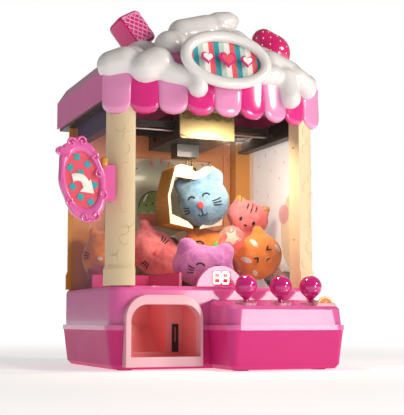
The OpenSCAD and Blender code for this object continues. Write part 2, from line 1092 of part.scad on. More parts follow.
module hoist_spool() {
    color(white) {
        rod_x(spool_r, claw_x - 12, claw_x + 12, spool_y, spool_z);
        rod_x(2, claw_x - 19, claw_x + 17.8, spool_y, spool_z);
        for (s = [-1, 1])
            rod_x(11, claw_x + s * 11 - 1, claw_x + s * 11 + 1, spool_y, spool_z);
    }
}

module claw_hub() {
    color(grey)
        translate([claw_x, claw_y, 0])
            difference() {
                union() {
                    translate([0, 0, pin_z + 4])
                        cylinder(h = hub_top - pin_z - 4, r = 9);
                    box(-6, 6, 6.6 - jaw_w / 2, jaw_w / 2 - 6.6, pin_z - 6, pin_z + 6);
                    for (s = [-1, 1])
                        translate([s * chain_gap, 0, hub_top - 1])
                            cylinder(h = 3, r = 2.4);
                }
                rod_y(axle_r, 0, -30, 30, pin_z);
            }
}

module lift_chains() {
    color(grey)
        for (s = [-1, 1])
            translate([claw_x + s * chain_gap, claw_y, hub_top + 2])
                cylinder(h = 92, r = chain_r);
}

module claw_pin() {
    color(white)
        translate([claw_x, claw_y, 0]) {
            rod_y(axle_r, 0, -jaw_w / 2 - 1, jaw_w / 2 + 1, pin_z);
            for (s = [-1, 1])
                rod_y(4, 0, s * (jaw_w / 2 + 1.3) - 1, s * (jaw_w / 2 + 1.3) + 1, pin_z);
        }
}

// One half of the claw. side is -1 for the left half, and inset moves its hinge plates
// inwards, so that the plates of one half turn beside those of the other.
module jaw(side, inset) {
    half = jaw_w / 2;
    color([0.95, 0.85, 0.65])
        translate([claw_x, claw_y, 0])
            difference() {
                union() {
                    upright(-half, half)
                        polygon([[side * 21, 263.5], [side * 30, 259], [side * 40, 220], [side * 36.5, 184],
                                 [side * 4.5, 178], [side * 5.5, 181.2], [side * 33.6, 186.5],
                                 [side * 36.8, 220], [side * 27.6, 256.6], [side * 21, 260]]);
                    for (e = [-1, 1]) {
                        hinge_y = e * (half - inset - 1.5);
                        upright(hinge_y - 1.5, hinge_y + 1.5) {
                            translate([0, pin_z])
                                circle(5.2);
                            polygon([[0, 253], [side * 13, 261.5], [side * 22, 262.4], [side * 29, 258.4],
                                     [side * 32.6, 245], [side * 29, 246], [side * 16, 244.8], [0, 243]]);
                        }
                        upright(e * (half - 1.5) - 1.5, e * (half - 1.5) + 1.5)
                            polygon([[side * 36.3, 184.5], [side * 37.2, 196], [side * 33.8, 196],
                                     [side * 12.5, 187.5], [side * 6, 181.4], [side * 4.7, 178.2]]);
                    }
                }
                rod_y(axle_r + play, 0, -30, 30, pin_z);
            }
}

module jaw_left() {
    jaw(-1, 0);
}

module jaw_right() {
    jaw(1, 3.3);
}

base_tub();
feet();
case_screws();
deck_shell();
prize_floor();
prize_door_frame();
prize_chute();
chute_slot_plate();
chute_fence();
display_housing();
display_panel();
column_front_left();
column_front_right();
column_back_left();
column_back_right();
window_left();
window_right();
window_front();
back_frame();
loading_door();
ceiling_frame();
bridge_rails();
roof_shell();
scallops_dark();
scallops_light();
icing();
sign_bezel();
sign_plate();
wafer();
strawberry();
shop_sign_frame();
shop_sign_plate();
shop_sign_relief();
shop_sign_bracket();
joystick_bezels();
joystick_brackets();
joystick_left();
joystick_middle();
joystick_right();
coin_bezel();
token();
power_switch();
battery_cover();
batteries();
circuit_board();
speaker();
bridge();
bridge_axle();
trolley_housing();
trolley_hangers();
trolley_cover();
trolley_axle();
hoist_motor();
hoist_spool();
claw_hub();
lift_chains();
claw_pin();
jaw_left();
jaw_right();
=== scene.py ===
"""Claw crane machine in a sweet-shop style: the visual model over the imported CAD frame.

All lengths are written in millimetres in the CAD frame and turned into metres by mm().
Front is -Y, +Z is up. Each section makes one group of pieces.
"""
import math
import random
import bmesh
import bpy
from mathutils import Euler, Matrix, Vector, noise
from mathutils.bvhtree import BVHTree


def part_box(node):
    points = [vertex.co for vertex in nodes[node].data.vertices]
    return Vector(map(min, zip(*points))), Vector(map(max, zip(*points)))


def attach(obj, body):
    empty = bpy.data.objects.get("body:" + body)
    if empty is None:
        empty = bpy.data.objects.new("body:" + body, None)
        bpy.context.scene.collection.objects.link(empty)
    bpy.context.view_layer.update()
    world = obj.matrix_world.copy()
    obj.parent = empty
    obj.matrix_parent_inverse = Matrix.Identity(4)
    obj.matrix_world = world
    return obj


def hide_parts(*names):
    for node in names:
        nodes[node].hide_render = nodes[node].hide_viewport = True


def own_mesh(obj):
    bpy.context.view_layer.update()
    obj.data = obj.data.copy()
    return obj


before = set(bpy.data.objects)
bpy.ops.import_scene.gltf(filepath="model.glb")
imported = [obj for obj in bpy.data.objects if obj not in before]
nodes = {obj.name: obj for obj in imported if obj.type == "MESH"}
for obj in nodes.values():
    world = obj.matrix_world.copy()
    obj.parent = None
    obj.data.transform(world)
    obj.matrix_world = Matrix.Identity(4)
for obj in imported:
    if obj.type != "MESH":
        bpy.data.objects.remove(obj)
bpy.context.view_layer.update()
scene = bpy.context.scene


def mm(*v):
    return Vector(v) / 1000


def centre(node):
    lo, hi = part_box(node)
    return (Vector(lo) + Vector(hi)) * 500


# ---- materials ----

def shade(colour, k):
    return tuple(max(0.0, min(1.0, c * k)) for c in colour) + (1.0,)


def linear(r, g, b):
    """An 8-bit screen colour as linear numbers."""
    return tuple((c / 255 / 12.92) if c < 10.3 else ((c / 255 + 0.055) / 1.055) ** 2.4
                 for c in (r, g, b))


M = {}


class Paint:
    """A principled material, kept in M by its name, with helpers for the nodes that vary it."""

    def __init__(self, name, colour, rough=0.35, coat=0.0, **extra):
        M[name] = self
        self.mat = bpy.data.materials.new(name)
        self.mat.use_nodes = True
        self.tree = self.mat.node_tree
        self.bsdf = self.tree.nodes["Principled BSDF"]
        self.bsdf.inputs["Base Color"].default_value = shade(colour, 1)
        self.bsdf.inputs["Roughness"].default_value = rough
        self.bsdf.inputs["Coat Weight"].default_value = coat
        self.bsdf.inputs["Coat Roughness"].default_value = 0.06
        for key, value in extra.items():
            self.bsdf.inputs[key.replace("_", " ").title()].default_value = value
        self.mat.diffuse_color = shade(colour, 1)
        self.coords = self.tree.nodes.new("ShaderNodeTexCoord")

    def node(self, kind, **values):
        n = self.tree.nodes.new(kind)
        for key, value in values.items():
            if hasattr(n, key):
                setattr(n, key, value)
            else:
                n.inputs[key.replace("_", " ").title()].default_value = value
        return n

    def link(self, a, b):
        self.tree.links.new(a, b)

    def noise(self, scale, detail=4, rough=0.6):
        n = self.node("ShaderNodeTexNoise", scale=scale, detail=detail, roughness=rough)
        self.link(self.coords.outputs["Object"], n.inputs["Vector"])
        return n.outputs["Fac"]

    def ramp(self, fac, *stops):
        n = self.node("ShaderNodeValToRGB")
        n.color_ramp.elements[0].position, n.color_ramp.elements[0].color = stops[0]
        n.color_ramp.elements[1].position, n.color_ramp.elements[1].color = stops[-1]
        for place, colour in stops[1:-1]:
            n.color_ramp.elements.new(place).color = colour
        self.link(fac, n.inputs["Fac"])
        return n.outputs["Color"]

    def mix(self, fac, a, b):
        n = self.node("ShaderNodeMix", data_type="RGBA")
        for value, sock in ((fac, 0), (a, 6), (b, 7)):
            if hasattr(value, "is_output"):
                self.link(value, n.inputs[sock])
            else:
                n.inputs[sock].default_value = value
        return n.outputs[2]

    def multiply(self, share, a, b):
        n = self.node("ShaderNodeMix", data_type="RGBA", blend_type="MULTIPLY")
        n.inputs[0].default_value = share
        self.link(a, n.inputs[6])
        self.link(b, n.inputs[7])
        return n.outputs[2]

    def maths(self, operation, a, b=0.0, c=0.0):
        n = self.node("ShaderNodeMath", operation=operation)
        for i, value in enumerate((a, b, c)):
            if hasattr(value, "is_output"):
                self.link(value, n.inputs[i])
            else:
                n.inputs[i].default_value = value
        return n.outputs[0]

    def axis(self, name, kind="Object"):
        n = self.node("ShaderNodeSeparateXYZ")
        self.link(self.coords.outputs[kind], n.inputs[0])
        return n.outputs[name]

    def paint(self, colour):
        self.link(colour, self.bsdf.inputs["Base Color"])
        return self

    def bump(self, height, strength=0.2, distance=0.0004):
        n = self.node("ShaderNodeBump", strength=strength, distance=distance)
        self.link(height, n.inputs["Height"])
        self.link(n.outputs["Normal"], self.bsdf.inputs["Normal"])
        return self

    def wear(self, scale, low, high):
        """Roughness that wanders between low and high."""
        n = self.node("ShaderNodeMapRange")
        self.link(self.noise(scale, 5), n.inputs["Value"])
        n.inputs["From Min"].default_value = 0.3
        n.inputs["From Max"].default_value = 0.7
        n.inputs["To Min"].default_value = low
        n.inputs["To Max"].default_value = high
        self.link(n.outputs["Result"], self.bsdf.inputs["Roughness"])
        return self


def plastic(name, rgb, rough=0.3, coat=0.5, vary=0.025, grain=0.04, scale=14, **extra):
    """Moulded plastic: slow tone drift, a fine moulded grain and uneven gloss."""
    colour = linear(*rgb)
    p = Paint(name, colour, rough, coat, **extra)
    p.paint(p.ramp(p.noise(scale, 3), (0.3, shade(colour, 1 - vary)), (0.7, shade(colour, 1 + vary))))
    p.bump(p.noise(900, 2), grain, 0.0003)
    p.wear(24, rough * 0.88, min(1.0, rough * 1.12))
    return p


def plush_cloth(name, rgb, tip_rgb):
    """Short-pile plush: mottled pile, darker where it parts, with sheen."""
    colour, tip = linear(*rgb), linear(*tip_rgb)
    p = Paint(name, colour, 0.92)
    p.bsdf.inputs["Sheen Weight"].default_value = 0.45
    p.bsdf.inputs["Sheen Roughness"].default_value = 0.4
    base = p.ramp(p.noise(55, 5, 0.7), (0.32, shade(colour, 0.82)), (0.62, shade(tip, 1.08)))
    pile = p.ramp(p.noise(1500, 4, 0.75), (0.3, (0.72, 0.72, 0.72, 1)), (0.65, (1.05, 1.05, 1.05, 1)))
    p.paint(p.multiply(0.8, base, pile))
    p.bump(p.noise(1100, 5, 0.8), 0.7, 0.0012)
    return p


def glowing(name, colour, strength):
    M[name].bsdf.inputs["Emission Color"].default_value = colour + (1,)
    M[name].bsdf.inputs["Emission Strength"].default_value = strength


def clear(name, rgb, alpha, rough=0.03):
    """Moulded clear plastic with faint streaks in its gloss."""
    tint = linear(*rgb)
    p = Paint(name, tint, rough)
    p.bsdf.inputs["Alpha"].default_value = alpha
    p.bsdf.inputs["IOR"].default_value = 1.49
    p.wear(30, rough, rough + 0.06)
    p.paint(p.ramp(p.noise(6, 3), (0.3, shade(tint, 0.95)), (0.7, shade(tint, 1.04))))
    return p


plastic("light_pink", (230, 100, 170), 0.2, 0.6)
plastic("pale_pink", (240, 184, 194), 0.3, 0.5)
plastic("magenta", (210, 40, 124), 0.42, 0.06, grain=0.12)
M["magenta"].bsdf.inputs["Specular IOR Level"].default_value = 0.3
plastic("dark_pink", (226, 40, 134), 0.16, 1.0)
plastic("scallop_pink", (238, 150, 198), 0.16, 1.0)
plastic("icing", (232, 228, 226), 0.2, 0.5, vary=0.02, grain=0.02)
M["icing"].bsdf.inputs["Subsurface Weight"].default_value = 0.12
M["icing"].bsdf.inputs["Subsurface Radius"].default_value = (0.006, 0.004, 0.003)
plastic("cream", (238, 214, 172), 0.42, 0.2, vary=0.05, grain=0.14)
plastic("cream_dark", (216, 188, 146), 0.5, 0.0)
plastic("amber", (214, 140, 40), 0.35, 0.4)
plastic("tan", (236, 160, 104), 0.45, 0.15, grain=0.14)
plastic("coral", (246, 148, 152), 0.4, 0.25, grain=0.1)
plastic("coral_print", (236, 84, 106), 0.34, 0.4)
plastic("teal", (40, 170, 178), 0.34, 0.4)
plastic("white", (250, 244, 234), 0.3, 0.4, vary=0.03)
plastic("black", (26, 20, 17), 0.45, 0.15, grain=0.2, vary=0.2)
plastic("brown", (22, 12, 10), 0.5, 0.1, grain=0.2, vary=0.2)
plastic("beige", (150, 132, 82), 0.42, 0.2, grain=0.12)
plastic("olive", (120, 98, 48), 0.45, 0.2, grain=0.12)
plastic("rubber", (34, 33, 33), 0.85, 0.0, grain=0.4, vary=0.15)
plastic("steel", (176, 172, 166), 0.32, 0.0, vary=0.1, Metallic=1.0)
plastic("brass", (196, 158, 92), 0.25, 0.0, vary=0.1, Metallic=1.0)
plastic("stick", (206, 18, 126), 0.1, 1.0, vary=0.04, grain=0.01)
plastic("wafer", (220, 16, 120), 0.32, 0.5)
plastic("wafer_face", (232, 150, 190), 0.4, 0.3)
plastic("strawberry", (222, 20, 112), 0.18, 0.9)
plastic("seed", (250, 222, 190), 0.4, 0.3)
plastic("orange", (240, 132, 52), 0.3, 0.5)
plastic("gold", (236, 190, 96), 0.25, 0.6)
plastic("board", (36, 96, 60), 0.5, 0.0)
plastic("ink", (30, 22, 26), 0.8, 0.0, vary=0.2, grain=0.5)
digits = Paint("led_white", (1.0, 0.95, 0.92), 0.4)
digits.paint(digits.ramp(digits.noise(300, 2), (0.3, (0.9, 0.85, 0.82, 1)), (0.7, (1, 1, 1, 1))))
glowing("led_white", (1.0, 0.93, 0.9), 1.3)
plastic("led_red", (226, 36, 30), 0.25, 0.6)
glowing("led_red", (0.8, 0.03, 0.02), 0.35)
clear("front_glass", (120, 116, 112), 0.02)
clear("side_glass", (150, 120, 176), 0.12)
clear("right_glass", (255, 250, 250), 0.55, 0.2)
clear("fence", (226, 76, 138), 0.82, 0.12)
plastic("print_grey", (176, 178, 150), 0.4, 0.2)
plastic("print_green", (128, 158, 84), 0.4, 0.2)
plastic("print_rose", (206, 108, 96), 0.4, 0.2)
plastic("print_navy", (92, 78, 130), 0.4, 0.2)
clear("faint_pink", (240, 150, 170), 0.55, 0.3)
clear("faint_yellow", (255, 226, 170), 0.4, 0.3)
clear("faint_rose", (250, 190, 196), 0.5, 0.3)
clear("capsule_salmon", (250, 110, 104), 0.8, 0.08)
clear("capsule_teal", (30, 150, 150), 0.85, 0.08)
clear("capsule_violet", (70, 130, 120), 0.85, 0.08)
clear("capsule_clear", (255, 236, 230), 0.16, 0.02)
plastic("back_print", (226, 204, 172), 0.4, 0.25, vary=0.04, grain=0.08)


def striped(name, axis, stops, start, width, rough=0.3):
    """Equal bands of colour along an axis of the part."""
    p = Paint(name, stops[0], rough, 0.4)
    t = p.maths("DIVIDE", p.maths("SUBTRACT", p.axis(axis), start / 1000), width / 1000)
    step = 1 / len(stops)
    n = p.node("ShaderNodeValToRGB")
    n.color_ramp.interpolation = "CONSTANT"
    n.color_ramp.elements[0].color = shade(stops[0], 1)
    n.color_ramp.elements[1].position = step
    n.color_ramp.elements[1].color = shade(stops[1], 1)
    for i in range(2, len(stops)):
        n.color_ramp.elements.new(i * step).color = shade(stops[i], 1)
    p.link(p.maths("FRACT", t), n.inputs["Fac"])
    tone = p.ramp(p.noise(40, 4), (0.3, (0.93, 0.93, 0.93, 1)), (0.7, (1, 1, 1, 1)))
    p.paint(p.multiply(1.0, n.outputs["Color"], tone))
    p.bump(p.noise(700, 2), 0.08)
    return p


STRIPES = (linear(236, 96, 108), linear(52, 160, 172), linear(197, 217, 205), linear(248, 244, 238))
striped("sign_stripes", "X", STRIPES, -53, 28)


def cream_jaw_with_painted_shade():
    """Cream jaws with painted shade, chosen by which way the face points: faces not turned along Y are
    painted a shaded gold with painted light and dark bands across the ribs, and faces along Y stay cream.
    """
    p = Paint("jaw", linear(250, 226, 184), 0.3, 0.5)
    # faces turned along Y keep the cream; all other faces get the painted shade
    side = p.maths("GREATER_THAN", p.maths("ABSOLUTE", p.axis("Y", "Normal")), 0.6)
    # bands about 5 mm apart along Y: painted light and shade across the ribs
    rib = p.maths("SINE", p.maths("MULTIPLY", p.axis("Y"), 1250))
    # dark and light gold: the cream plastic painted as it looks in shade
    lo, hi = linear(128, 80, 14), linear(200, 142, 30)
    gold = p.ramp(p.maths("MULTIPLY_ADD", rib, 0.5, 0.5), (0.1, shade(lo, 1)), (0.9, shade(hi, 1)))
    cream = p.ramp(p.noise(50, 3), (0.3, shade(linear(250, 224, 178), 0.95)),
                   (0.7, shade(linear(255, 234, 198), 1)))
    p.paint(p.mix(side, gold, cream))
    p.bump(p.noise(500, 2), 0.08)
    return p


cream_jaw_with_painted_shade()
# golden paint for the jaw ribs: painted shade of the cream jaws' outer sides
plastic("jaw_rib_painted_shade", (206, 146, 40), 0.35, 0.4, vary=0.12)


# ---- mesh helpers ----

def add_grid(bm, point, nu, nv, wrap_u=False, wrap_v=False, mat=0):
    """Faces over point(u, v), with u and v from 0 to 1."""
    cols = nu if wrap_u else nu + 1
    rows = nv if wrap_v else nv + 1
    made = [[bm.verts.new(point(i / nu, j / nv)) for j in range(rows)] for i in range(cols)]
    for i in range(nu):
        for j in range(nv):
            a, b = made[i], made[(i + 1) % cols]
            k = (j + 1) % rows
            face = bm.faces.new((a[j], b[j], b[k], a[k]))
            face.material_index = mat
            face.smooth = True
    return made


def add_ball(bm, at, radii, turn=None, nu=24, nv=14, mat=0, power=1.0):
    """An ellipsoid, or with power below 1 a boxier one, in mm."""
    turn = turn or Matrix.Identity(3)

    def point(u, v):
        a, b = 2 * math.pi * u, math.pi * (v - 0.5)
        d = Vector((math.cos(a) * math.cos(b), math.sin(a) * math.cos(b), math.sin(b)))
        d = Vector([math.copysign(abs(c) ** power, c) for c in d])
        return (Vector(at) + turn @ Vector([d[k] * radii[k] for k in range(3)])) / 1000

    add_grid(bm, point, nu, nv, wrap_u=True, mat=mat)


def add_sweep(bm, path, radius, sides=8, mat=0, closed=False, flat=1.0, taper=False, up=None):
    """A round bar along points in mm; flat below 1 presses it towards the plane across up."""
    pts = [Vector(p) for p in path]
    n = len(pts)
    rings = []
    for i, p in enumerate(pts):
        a = pts[(i - 1) % n] if closed or i else p
        b = pts[(i + 1) % n] if closed or i < n - 1 else p
        t = (b - a).normalized()
        ref = Vector(up) if up else (Vector((0, 0, 1)) if abs(t.z) < 0.9 else Vector((0, 1, 0)))
        x = t.cross(ref).normalized()
        y = x.cross(t).normalized()
        r = radius(i / (n - 1)) if callable(radius) else radius
        if taper and not closed and i in (0, n - 1):
            r *= 0.35
        ring = []
        for k in range(sides):
            w = 2 * math.pi * k / sides
            ring.append(bm.verts.new((p + x * r * math.cos(w) + y * r * flat * math.sin(w)) / 1000))
        rings.append(ring)
    last = n if closed else n - 1
    for i in range(last):
        a, b = rings[i], rings[(i + 1) % n]
        for k in range(sides):
            face = bm.faces.new((a[k], a[(k + 1) % sides], b[(k + 1) % sides], b[k]))
            face.material_index = mat
            face.smooth = True
    if not closed:
        for ring in (rings[0][::-1], rings[-1]):
            bm.faces.new(ring).material_index = mat


def add_lathe(bm, profile, at, turn=None, steps=36, mat=0):
    """Turns (radius, height) pairs in mm round the Z axis of turn at a place."""
    turn = turn or Matrix.Identity(3)
    last = len(profile) - 1

    def point(u, v):
        r, h = profile[min(last, round(v * last))]
        a = 2 * math.pi * u
        return (Vector(at) + turn @ Vector((r * math.cos(a), r * math.sin(a), h))) / 1000

    add_grid(bm, point, steps, last, wrap_u=True, mat=mat)


def plate(bm, outline, low, high, place, mat=0):
    """A flat shape: outline points (a, b) between two heights, put in place by a 4x4."""
    rings = []
    for h in (low, high):
        rings.append([bm.verts.new((place @ Vector((a, b, h))) / 1000) for a, b in outline])
    n = len(outline)
    made = [bm.faces.new(rings[0][::-1]), bm.faces.new(rings[1])]
    for k in range(n):
        a, b = rings[0][k], rings[0][(k + 1) % n]
        made.append(bm.faces.new((a, b, rings[1][(k + 1) % n], rings[1][k])))
    for face in made:
        face.material_index = mat


def facing(x, y, z, yaw=0, pitch=0, roll=0):
    """Frame whose first axis is right, second is up and third comes out of the front (-Y)."""
    base = Matrix(((1, 0, 0), (0, 0, -1), (0, 1, 0))).to_4x4()
    turn = Euler((math.radians(pitch), 0, math.radians(yaw))).to_matrix().to_4x4()
    spin = Matrix.Rotation(math.radians(roll), 4, "Z")
    return Matrix.Translation((x, y, z)) @ turn @ base @ spin


def heart(size, n=28):
    out = []
    for i in range(n):
        t = 2 * math.pi * i / n
        a = 16 * math.sin(t) ** 3
        b = 13 * math.cos(t) - 5 * math.cos(2 * t) - 2 * math.cos(3 * t) - math.cos(4 * t)
        out.append((-a * size / 16, b * size / 16))
    return out


def ellipse(a, b, n=32, at=(0, 0)):
    return [(at[0] + a * math.cos(2 * math.pi * i / n), at[1] + b * math.sin(2 * math.pi * i / n))
            for i in range(n)]


def star(outer, inner, n=5, turn=90):
    out = []
    for i in range(2 * n):
        r = outer if i % 2 == 0 else inner
        w = math.radians(turn + 180 * i / n)
        out.append((r * math.cos(w), r * math.sin(w)))
    return out


def clover(r, n=36):
    """Four round petals."""
    out = []
    for i in range(n):
        w = 2 * math.pi * i / n
        k = r * (0.4 + 0.6 * abs(math.cos(2 * w)) ** 0.5)
        out.append((k * math.cos(w), k * math.sin(w)))
    return out


def modified(obj, kind, name, **values):
    m = obj.modifiers.new(name, kind)
    for key, value in values.items():
        setattr(m, key, value)
    return m


def rounded_edges(obj, width, angle=32, segments=2):
    modified(obj, "BEVEL", "edges", width=width / 1000, segments=segments, limit_method="ANGLE",
             angle_limit=math.radians(angle), harden_normals=False, use_clamp_overlap=True)


def bake(obj):
    """Applies the modifiers to the piece's own mesh."""
    deps = bpy.context.evaluated_depsgraph_get()
    mesh = bpy.data.meshes.new_from_object(obj.evaluated_get(deps))
    obj.modifiers.clear()
    obj.data = mesh
    return obj


def to_object(bm, name, paints, weld=True):
    if weld:
        bmesh.ops.remove_doubles(bm, verts=bm.verts, dist=2e-6)
    bmesh.ops.recalc_face_normals(bm, faces=bm.faces)
    mesh = bpy.data.meshes.new(name)
    bm.to_mesh(mesh)
    bm.free()
    for key in paints:
        mesh.materials.append(M[key].mat)
    obj = bpy.data.objects.new(name, mesh)
    scene.collection.objects.link(obj)
    return obj


def piece(bm, name, paints, body="cabinet", stands_for=(), bevel=0, weld=True):
    obj = to_object(bm, name, paints, weld)
    if bevel:
        rounded_edges(obj, bevel)
    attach(obj, body)
    if stands_for:
        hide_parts(*stands_for)
    return obj


# ---- camera, floor and light ----

def make_camera():
    data = bpy.data.cameras.new("camera")
    data.sensor_width = 36
    data.lens = 89.82
    cam = bpy.data.objects.new("camera", data)
    cam.location = (-0.49954, -1.26117, 0.05862)
    cam.rotation_euler = (math.radians(96.21), 0, math.radians(-22.47))
    scene.collection.objects.link(cam)
    scene.camera = cam


def area_light(name, place, aim, size, power, colour):
    data = bpy.data.lights.new(name, "AREA")
    data.shape = "DISK"
    data.size = size
    data.energy = power
    data.color = colour
    lamp = bpy.data.objects.new(name, data)
    lamp.location = place
    lamp.rotation_euler = (Vector(aim) - Vector(place)).to_track_quat("-Z", "Y").to_euler()
    lamp.visible_camera = False
    scene.collection.objects.link(lamp)


def make_studio():
    bm = bmesh.new()
    add_grid(bm, lambda u, v: Vector((80 * u - 40, 80 * v - 40, 0)), 8, 8)
    p = Paint("studio_floor", (0.93, 0.93, 0.93), 0.6)
    p.bsdf.inputs["Emission Color"].default_value = (1, 1, 1, 1)
    away = p.node("ShaderNodeVectorMath", operation="LENGTH")
    p.link(p.coords.outputs["Object"], away.inputs[0])
    glow = p.node("ShaderNodeMapRange")
    p.link(away.outputs["Value"], glow.inputs["Value"])
    glow.inputs["From Min"].default_value = 0.5
    glow.inputs["From Max"].default_value = 2.2
    glow.inputs["To Min"].default_value = 0.5
    glow.inputs["To Max"].default_value = 1.0
    p.link(glow.outputs["Result"], p.bsdf.inputs["Emission Strength"])
    p.paint(p.ramp(p.noise(3, 2), (0.3, (0.92, 0.92, 0.92, 1)), (0.7, (0.95, 0.95, 0.95, 1))))
    to_object(bm, "studio_floor", ["studio_floor"])
    world = bpy.data.worlds.new("studio")
    scene.world = world
    world.use_nodes = True
    tree = world.node_tree
    seen = tree.nodes["Background"]
    seen.inputs[0].default_value = (1, 1, 1, 1)
    seen.inputs[1].default_value = 1.0
    fill = tree.nodes.new("ShaderNodeBackground")
    fill.inputs[0].default_value = (1.0, 0.97, 0.96, 1)
    fill.inputs[1].default_value = 0.22
    path = tree.nodes.new("ShaderNodeLightPath")
    both = tree.nodes.new("ShaderNodeMixShader")
    tree.links.new(path.outputs["Is Camera Ray"], both.inputs[0])
    tree.links.new(fill.outputs[0], both.inputs[1])
    tree.links.new(seen.outputs[0], both.inputs[2])
    tree.links.new(both.outputs[0], tree.nodes["World Output"].inputs[0])
    area_light("key", (1.6, -1.5, 1.15), (0, 0, 0.22), 0.5, 25, (1.0, 0.93, 0.84))
    area_light("low_front", (0.95, -1.9, 0.2), (0.05, 0, 0.12), 0.55, 8, (1.0, 0.95, 0.9))
    area_light("cabin", (0.02, -0.094, 0.290), (0.02, 0.03, 0.06), 0.06, 0.42, (1.0, 0.88, 0.72))
    scene.view_settings.view_transform = "Standard"


# ---- carried-over CAD nodes ----

# Paint, edge rounding in mm and the CAD nodes that wear them.
FINISH = (
    ("magenta", 1.2, "base_tub"),
    ("rubber", 0.6, "feet"),
    ("steel", 0, "case_screws bridge_axle trolley_axle"),
    ("light_pink", 1.4, "deck_shell"),
    ("pale_pink", 0.5, "prize_floor joystick_bezels coin_bezel"),
    ("pale_pink", 2.2, "prize_door_frame"),
    ("coral", 0, "prize_chute"),
    ("black", 0.3, "chute_slot_plate speaker"),
    ("fence", 0.5, "chute_fence"),
    ("light_pink", 2.0, "display_housing roof_shell"),
    ("led_red", 0.3, "display_panel"),
    ("cream", 0.8, "column_front_left column_front_right"),
    ("amber", 0.8, "column_back_left column_back_right"),
    ("side_glass", 0, "window_left"),
    ("right_glass", 0, "window_right"),
    ("front_glass", 0, "window_front"),
    ("tan", 0.5, "back_frame"),
    ("back_print", 0.5, "loading_door"),
    ("brown", 0.4, "ceiling_frame bridge_rails"),
    ("sign_stripes", 0.6, "sign_plate"),
    ("coral_print", 0.6, "shop_sign_plate"),
    ("light_pink", 0.8, "shop_sign_bracket"),
    ("black", 0, "joystick_brackets trolley_hangers"),
    ("stick", 0, "joystick_left joystick_middle joystick_right"),
    ("black", 0.4, "power_switch"),
    ("magenta", 0.4, "battery_cover"),
    ("steel", 0.4, "batteries hoist_motor"),
    ("board", 0, "circuit_board"),
    ("black", 0.5, "bridge"),
    ("black", 0.8, "trolley_housing"),
    ("beige", 1.0, "trolley_cover"),
    ("white", 0, "hoist_spool"),
    ("brass", 0.5, "claw_hub"),
    ("white", 0.8, "claw_pin"),
    ("jaw", 0.4, "jaw_left jaw_right"),
)


def finish_nodes():
    for paint, bevel, names in FINISH:
        for obj in [nodes[name] for name in names.split()]:
            for slot in obj.material_slots:
                slot.material = M[paint].mat
            if bevel:
                rounded_edges(obj, bevel)


# ---- roof ----

LOBES = (((-134, -92, 363), 18, (-118, -98, 367), 20), ((-98, -114, 358), 20, (-84, -114, 364), 22),
         ((-72, -122, 353), 15, (-46, -135, 347), 12), ((-43, -138, 346), 13, (-41, -141, 334), 12.5),
         ((-60, -92, 395), 19, (-50, -80, 400), 19), ((-34, -68, 420), 18, (0, -66, 430), 18),
         ((16, -68, 436), 17, (29, -68, 441), 14), ((32, -69, 446), 8, (41, -70, 445), 5),
         ((-34, -126, 362), 14, (34, -126, 362), 14), ((44, -129, 358), 12, (64, -124, 361), 15),
         ((84, -120, 360), 15, (88, -129, 334), 14), ((104, -108, 364), 17, (120, -106, 355), 17),
         ((126, -98, 360), 15, (136, -82, 360), 13), ((68, -108, 378), 20, (100, -98, 370), 20),
         ((66, -84, 384), 25, (106, -66, 374), 24), ((-78, -44, 384), 28, (84, -36, 384), 26),
         ((-104, -78, 370), 24, (-44, 4, 388), 24), ((30, -80, 402), 26, (44, -16, 398), 26),
         ((0, -104, 384), 28, (0, -34, 404), 30))


def make_icing():
    """Thick poured icing: soft lobes run together, then smoothed."""
    bm = bmesh.new()
    for a, ra, b, rb in LOBES:
        add_ball(bm, a, (ra, ra, ra))
        add_ball(bm, b, (rb, rb, rb))
        steps = 7
        for i in range(1, steps):
            t = i / steps
            r = ra + (rb - ra) * t
            add_ball(bm, Vector(a).lerp(Vector(b), t), (r, r, r), nu=20, nv=12)
    obj = to_object(bm, "icing_poured", ["icing"], weld=False)
    modified(obj, "REMESH", "pour", mode="VOXEL", voxel_size=0.0024, use_smooth_shade=True)
    modified(obj, "SMOOTH", "settle", factor=0.5, iterations=10)
    bake(obj)
    for poly in obj.data.polygons:
        poly.use_smooth = True
    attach(obj, "cabinet")
    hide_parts("icing")


def make_scallops():
    """Glossy petals along the curved front eave, in two colours."""
    count, radius, mid_y, half = 9, 274.8, 137.8, 32.1
    step = 2 * half / count
    width = radius * math.tan(math.radians(step / 2)) + 0.5
    for name, first, paint, slot in (("scallops_light_petals", 0, "scallop_pink", "scallop_pink"),
                                     ("scallops_dark_petals", 1, "dark_pink", "dark_pink")):
        bm = bmesh.new()
        for i in range(first, count, 2):
            a = math.radians(-half + (i + 0.5) * step)
            out = Vector((math.sin(a), -math.cos(a), 0))
            side = Vector((math.cos(a), math.sin(a), 0))
            root = Vector((0, mid_y, 0)) + out * (radius - 2.6 if first else radius - 1.6)

            def point(u, v, back=False):
                s = math.sin((u - 0.5) * math.pi)
                arch = math.sqrt(max(0.0, 1 - s * s))
                low = 318 - 16 * arch ** 0.8
                bulge = 0 if back else 5.6 * arch ** 0.7 * (0.45 + 0.55 * v) * max(0.0, 1 - v ** 9) ** 0.5
                return (root + side * (s * width) + out * bulge
                        + Vector((0, 0, 353 - (353 - low) * v))) / 1000

            add_grid(bm, point, 16, 18)
            add_grid(bm, lambda u, v: point(u, v, True), 16, 18)
        piece(bm, name, [paint], stands_for=(name.rsplit("_", 1)[0],))


